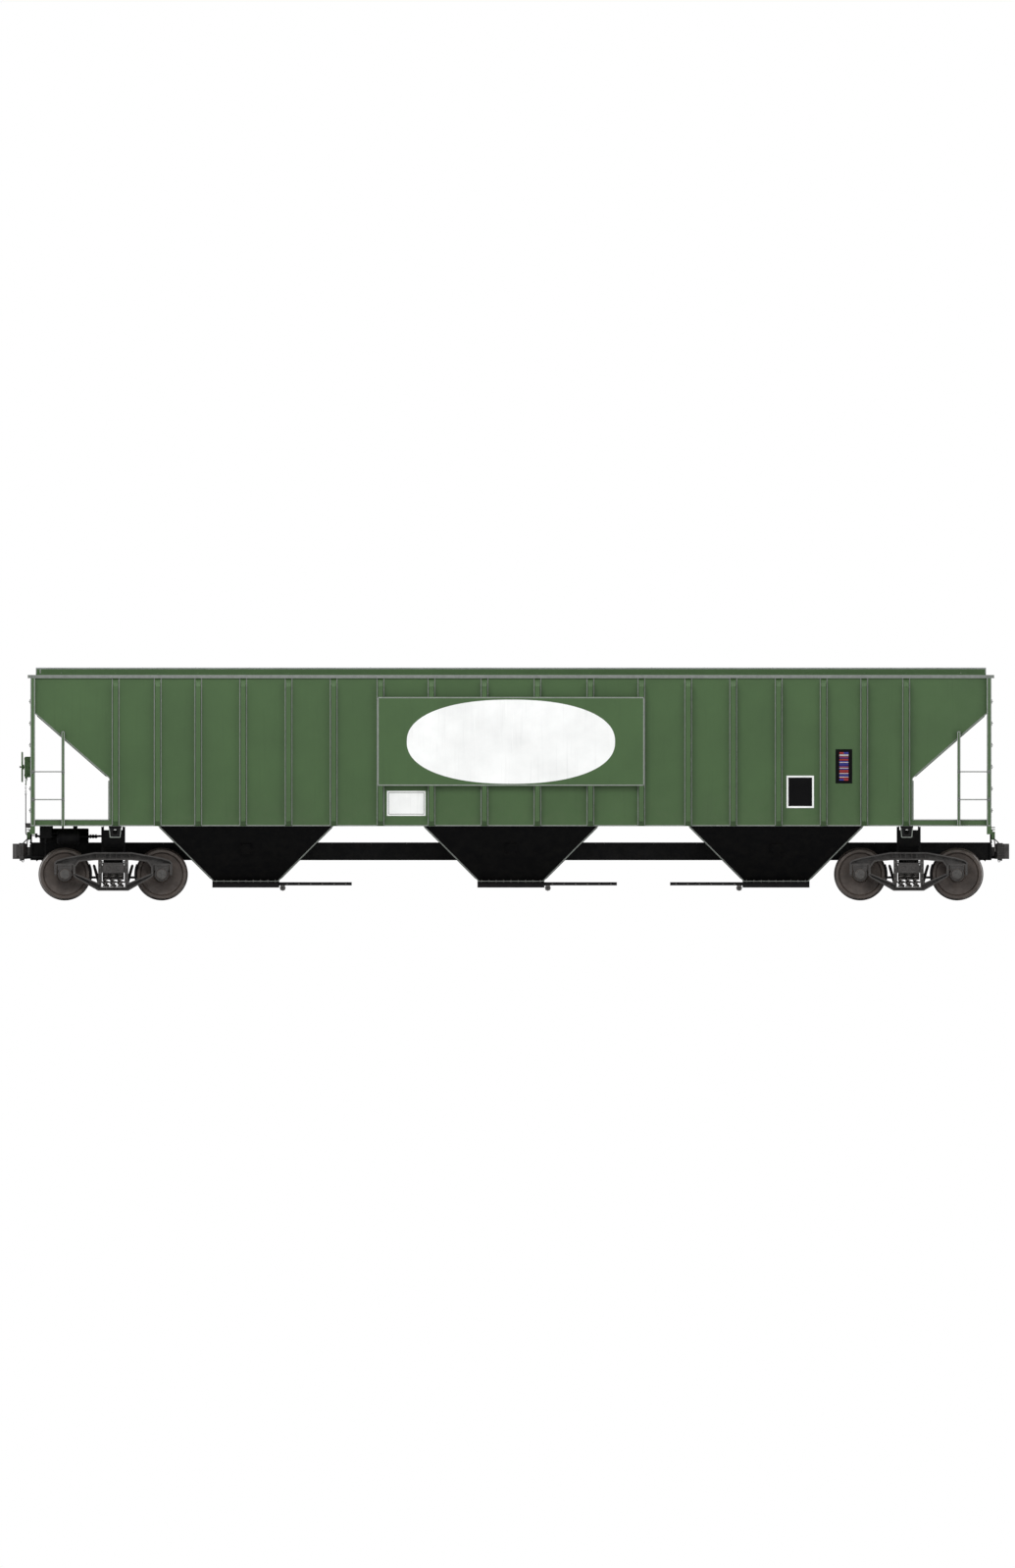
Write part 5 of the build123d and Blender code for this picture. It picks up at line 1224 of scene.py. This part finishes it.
def drum_fittings(parts):
    """Flanges of the brake cylinder, bands and plugs of the reservoir."""
    flange = ((0.0, 0.128), (0.0, 0.148), (0.020, 0.148), (0.020, 0.128))
    for x in (-8.290, -7.950):
        parts.lathe((x - 0.010, CYLINDER_Y, DRUM_Z), TO_A_END, flange, 36)
        for step in range(8):
            angle = tau * (step + 0.5) / 8
            spot = (x + 0.010, CYLINDER_Y + 0.139 * cos(angle), DRUM_Z + 0.139 * sin(angle))
            parts.bolt(spot, TO_A_END, 0.016, 0.010, 0.004)
    band = ((0.0, 0.149), (0.003, 0.1525), (0.009, 0.1525), (0.012, 0.149))
    for x in (-8.560, -7.840):
        parts.lathe((x - 0.006, RESERVOIR_Y, DRUM_Z), TO_A_END, band, 36)
    parts.bolt((-8.649, RESERVOIR_Y, DRUM_Z), TO_B_END, 0.044, 0.022, 0.0)
    parts.bolt((-7.751, RESERVOIR_Y, DRUM_Z), TO_A_END, 0.044, 0.022, 0.0)
    parts.bolt((-8.200, RESERVOIR_Y, 1.025), DOWN, 0.030, 0.020, 0.012)


def brake_levers():
    """The two-plate lever at the cylinder, its pins and the rods that it pulls."""
    rods = Build()
    drum_fittings(rods)
    outline = ((-7.745, -0.800), (-7.705, -0.815), (-7.590, -0.290), (-7.630, -0.275))
    for low in (1.150, 1.188):
        rods.prism(outline, "xy", (low, low + 0.010))
    for x, y in ((-7.716, CYLINDER_Y), (-7.616, -0.310), (-7.668, -0.530)):
        rods.rod((x, y, 1.138), (x, y, 1.210), 0.013)
        rods.rod((x, y, 1.206), (x, y, 1.213), 0.020)
    rods.box((-7.640, -7.560), (-0.335, -0.285), (1.160, 1.188))
    rods.rod((-7.570, -0.310, DRUM_Z), (-7.482, -0.310, DRUM_Z), 0.013)
    rods.box((-7.700, -7.640), (-0.545, -0.515), (1.160, 1.188))
    rods.box((-8.734, -8.690), (-0.470, -0.410), (1.150, 1.230))
    slack = ((-7.668, -0.530), (-7.900, -0.560), (-8.100, -0.480), (-8.700, -0.440))
    rods.tube(bent([(x, y, DRUM_Z) for x, y in slack]), 0.010, 10)
    brake_rod = (
        (SPINDLE_X, SPINDLE_Y, 1.392), (SPINDLE_X, SPINDLE_Y, 1.200),
        (-8.700, 0.480, 1.190), (-7.484, 0.420, 1.190),
    )
    rods.tube(bent(brake_rod), 0.010, 10)
    place("brake_levers", rods, black, edge=0.0008)


def brake_box_parts():
    """Feet, flanges, bolts and release lever of the hand brake's box, and the wheel's nut."""
    parts, nut = Build(), Build()
    wall = -BODY_HALF_LENGTH
    for y in (0.372, 0.668):
        parts.box((wall - 0.012, wall), around(y, 0.030), (2.300, 2.600))
        for z in (2.330, 2.450, 2.570):
            parts.bolt((wall - 0.012, y, z), TO_B_END, 0.024, 0.014, 0.006)
    for z in (2.300, 2.600):
        parts.box((wall - 0.006, wall), (0.342, 0.698), around(z, 0.010))
        for y in (0.425, 0.615):
            parts.bolt((-8.9295, y, z), TO_B_END, 0.018, 0.006, 0.0)
    parts.rod((-8.880, 0.392, 2.330), (-8.880, 0.330, 2.330), 0.012)
    lever = ((-8.880, 0.336, 2.330), (-8.880, 0.330, 2.230), (-8.900, 0.300, 2.180), (-8.900, 0.300, 2.120))
    parts.tube(bent(lever, 0.03), 0.008, 10)
    parts.rod((SPINDLE_X, SPINDLE_Y, 2.262), (SPINDLE_X, SPINDLE_Y, 2.235), 0.016)
    place("hand_brake_fittings", parts, green, edge=0.001)
    nut.bolt((-9.0015, SPINDLE_Y, 2.450), TO_B_END, 0.034, 0.018, 0.0)
    place("brake_wheel_nut", nut, gate_steel)


bolster_stiffeners()
brake_pipes()
brake_levers()
brake_box_parts()


# Couplers: pins, lifter and ribs


def coupler_parts(letter):
    """Built for the A end. The B end has the same parts, turned half round."""
    parts, pin = Build(), Build()
    x, y = 9.000, 0.115
    head = ((0.0, 0.031), (0.008, 0.031), (0.013, 0.025), (0.0145, 0.012))
    pin.lathe((x, y, 1.0418), UP, head)
    pin.lathe((x, y, 0.7622), DOWN, ((0.0, 0.0175), (0.030, 0.0175), (0.034, 0.014)))
    pin.rod((x, y - 0.030, 0.744), (x, y + 0.030, 0.744), 0.004, 8)
    rib = (
        (8.930, -0.206), (9.050, -0.216), (9.130, -0.206), (9.130, -0.214), (9.050, -0.229), (8.930, -0.219),
    )
    for z in (0.842, 0.962):
        parts.prism(rib, "xy", around(z, 0.008))
    collar = ((0.0, 0.036), (0.006, 0.034), (0.006, 0.024), (0.0, 0.022))
    parts.lathe((8.962, -0.045, 1.0418), UP, collar)
    for bar_y in (0.085, -0.125):
        parts.box((8.905, 8.985), around(bar_y, 0.010), (1.040, 1.052))
    parts.box((8.930, 8.990), (-0.060, -0.020), (0.738, 0.764))
    parts.eye((8.960, -0.040, 0.724), 0.018, 0.006, 8, 12, 0.5236)
    for side in (-1, 1):
        parts.bead((8.720, side * 0.065, 0.902), (8.870, side * 0.065, 0.902), (0, side, 0), 0.030, 0.008)
    if letter == "b":
        for build in (parts, pin):
            build.points = [Vector((-point.x, -point.y, point.z)) for point in build.points]
    place(f"coupler_ribs_{letter}", parts, cast, f"coupler_{letter}", edge=0.0015)
    place(f"knuckle_pin_{letter}", pin, gate_steel, f"coupler_{letter}")


for letter in "ab":
    coupler_parts(letter)


# Hoppers: slope stiffeners and the bolted gate rails


def end_slope_x(z):
    """Half length of a hopper at a height."""
    run = HOPPER_TOP_HALF_LENGTH - OUTLET_HALF_LENGTH
    return OUTLET_HALF_LENGTH + (z - OUTLET_TOP_Z) * run / (SILL_BOTTOM_Z - OUTLET_TOP_Z)


def hopper_parts():
    """Ribs on the end slopes, and bolts along the rails to the side that each gate opens to."""
    ribs, bolts = Build(), Build()
    high = 1.340
    for centre, way in zip(HOPPER_PLACES, (-1, 1, 1)):
        for end in (-1, 1):
            for y, low in ((-0.560, 0.520), (-0.250, 0.400), (0.250, 0.400), (0.560, 0.520)):
                start = (centre + end * end_slope_x(low), y, low)
                stop = (centre + end * end_slope_x(high), y, high)
                ribs.bead(start, stop, (end, 0, -1), 0.060, 0.009)
        for side in (-1, 1):
            for step in range(6):
                x = centre + way * (0.760 + 0.215 * step)
                bolts.bolt((x, side * 0.462, 0.300), (0, side, 0), 0.020, 0.012, 0.005)
    place("hopper_stiffeners", ribs, black)
    place("gate_rail_bolts", bolts, gate_steel)


hopper_parts()


# Light, floor and background

LAMPS = {
    "key": ((-9.0, -22.0, 17.0), (0, 0, 2.0), (16.0, 10.0), 3500),
    "fill": ((16.0, -20.0, 6.0), (0, 0, 2.0), (14.0, 9.0), 1100),
    "back": ((4.0, 22.0, 15.0), (0, 0, 2.0), (16.0, 9.0), 1700),
    "top": ((0.0, 0.0, 18.0), (0, 0, 2.0), (20.0, 8.0), 1200),
    "end_a": ((26.0, 2.0, 9.0), (8.0, 0, 2.0), (9.0, 8.0), 1100),
    "end_b": ((-26.0, 2.0, 9.0), (-8.0, 0, 2.0), (9.0, 8.0), 1100),
}
SKY = (0.90, 0.93, 1.0, 1.0)
SKY_STRENGTH = 0.42
PLAIN_WHITE = (1.0, 1.0, 1.0, 1.0)
FLOOR_REACH = 60.0
FADE_START = 6.5
FADE_STOP = 15.0
FADE_SHAPE = (0.55, 1.0, 1.0)


def soft_lamp(name, place_at, aim, size, power):
    data = bpy.data.lights.new(name, "AREA")
    data.shape = "RECTANGLE"
    data.size, data.size_y = size
    data.energy = power
    lamp = add_object(name, data)
    lamp.location = place_at
    way = Vector(aim) - Vector(place_at)
    lamp.rotation_euler = way.to_track_quat("-Z", "Y").to_euler()


def seen_rays(tree):
    """1 for a ray that shows the background: straight, mirrored or through glass."""
    rays = tree.nodes.new("ShaderNodeLightPath").outputs
    seen = rays["Is Camera Ray"]
    for kind in ("Is Glossy Ray", "Is Transmission Ray"):
        seen = add_node(tree, "Math", "Value", {0: seen, 1: rays[kind]}, operation="MAXIMUM")
    return seen


def blend(tree, factor, first, second, output):
    """Two shaders, joined by a factor and led to an output node."""
    mixed = add_node(tree, "MixShader", "Shader", {"Fac": factor, 1: first, 2: second})
    tree.links.new(mixed, tree.nodes[output].inputs["Surface"])


def pale_floor():
    """A plain floor that runs out into the white background away from the car."""
    look = Look("pale_floor")
    look.put("Base Color", (*PALE, 1.0))
    look.put("Roughness", 0.9)
    away = add_node(look.tree, "VectorMath", "Value", {0: look.stretch(FADE_SHAPE)}, operation="LENGTH")
    factor = look.times(look.ramp(away, FADE_START, FADE_STOP), seen_rays(look.tree))
    white = add_node(look.tree, "Emission", "Emission", {}, {"Color": PLAIN_WHITE, "Strength": 1.0})
    blend(look.tree, factor, look.shader.outputs["BSDF"], white, "Material Output")
    return look.material


def white_world():
    """Soft light all round, with plain white where the background shows."""
    world = bpy.data.worlds.new("studio")
    bpy.context.scene.world = world
    world.use_nodes = True
    tree = world.node_tree
    soft = tree.nodes["Background"]
    soft.inputs["Color"].default_value = SKY
    soft.inputs["Strength"].default_value = SKY_STRENGTH
    plain = add_node(tree, "Background", "Background", {}, {"Color": PLAIN_WHITE, "Strength": 1.0})
    blend(tree, seen_rays(tree), soft.outputs["Background"], plain, "World Output")


def studio():
    floor = bpy.data.meshes.new("floor")
    corners = [(x * FLOOR_REACH, y * FLOOR_REACH, 0) for x, y in ((-1, -1), (1, -1), (1, 1), (-1, 1))]
    floor.from_pydata(corners, [], [(0, 1, 2, 3)])
    floor.materials.append(pale_floor())
    ground = add_object("floor", floor)
    white_world()
    for name, facts in LAMPS.items():
        soft_lamp(name, *facts)


studio()
bpy.context.scene.view_settings.view_transform = "Standard"
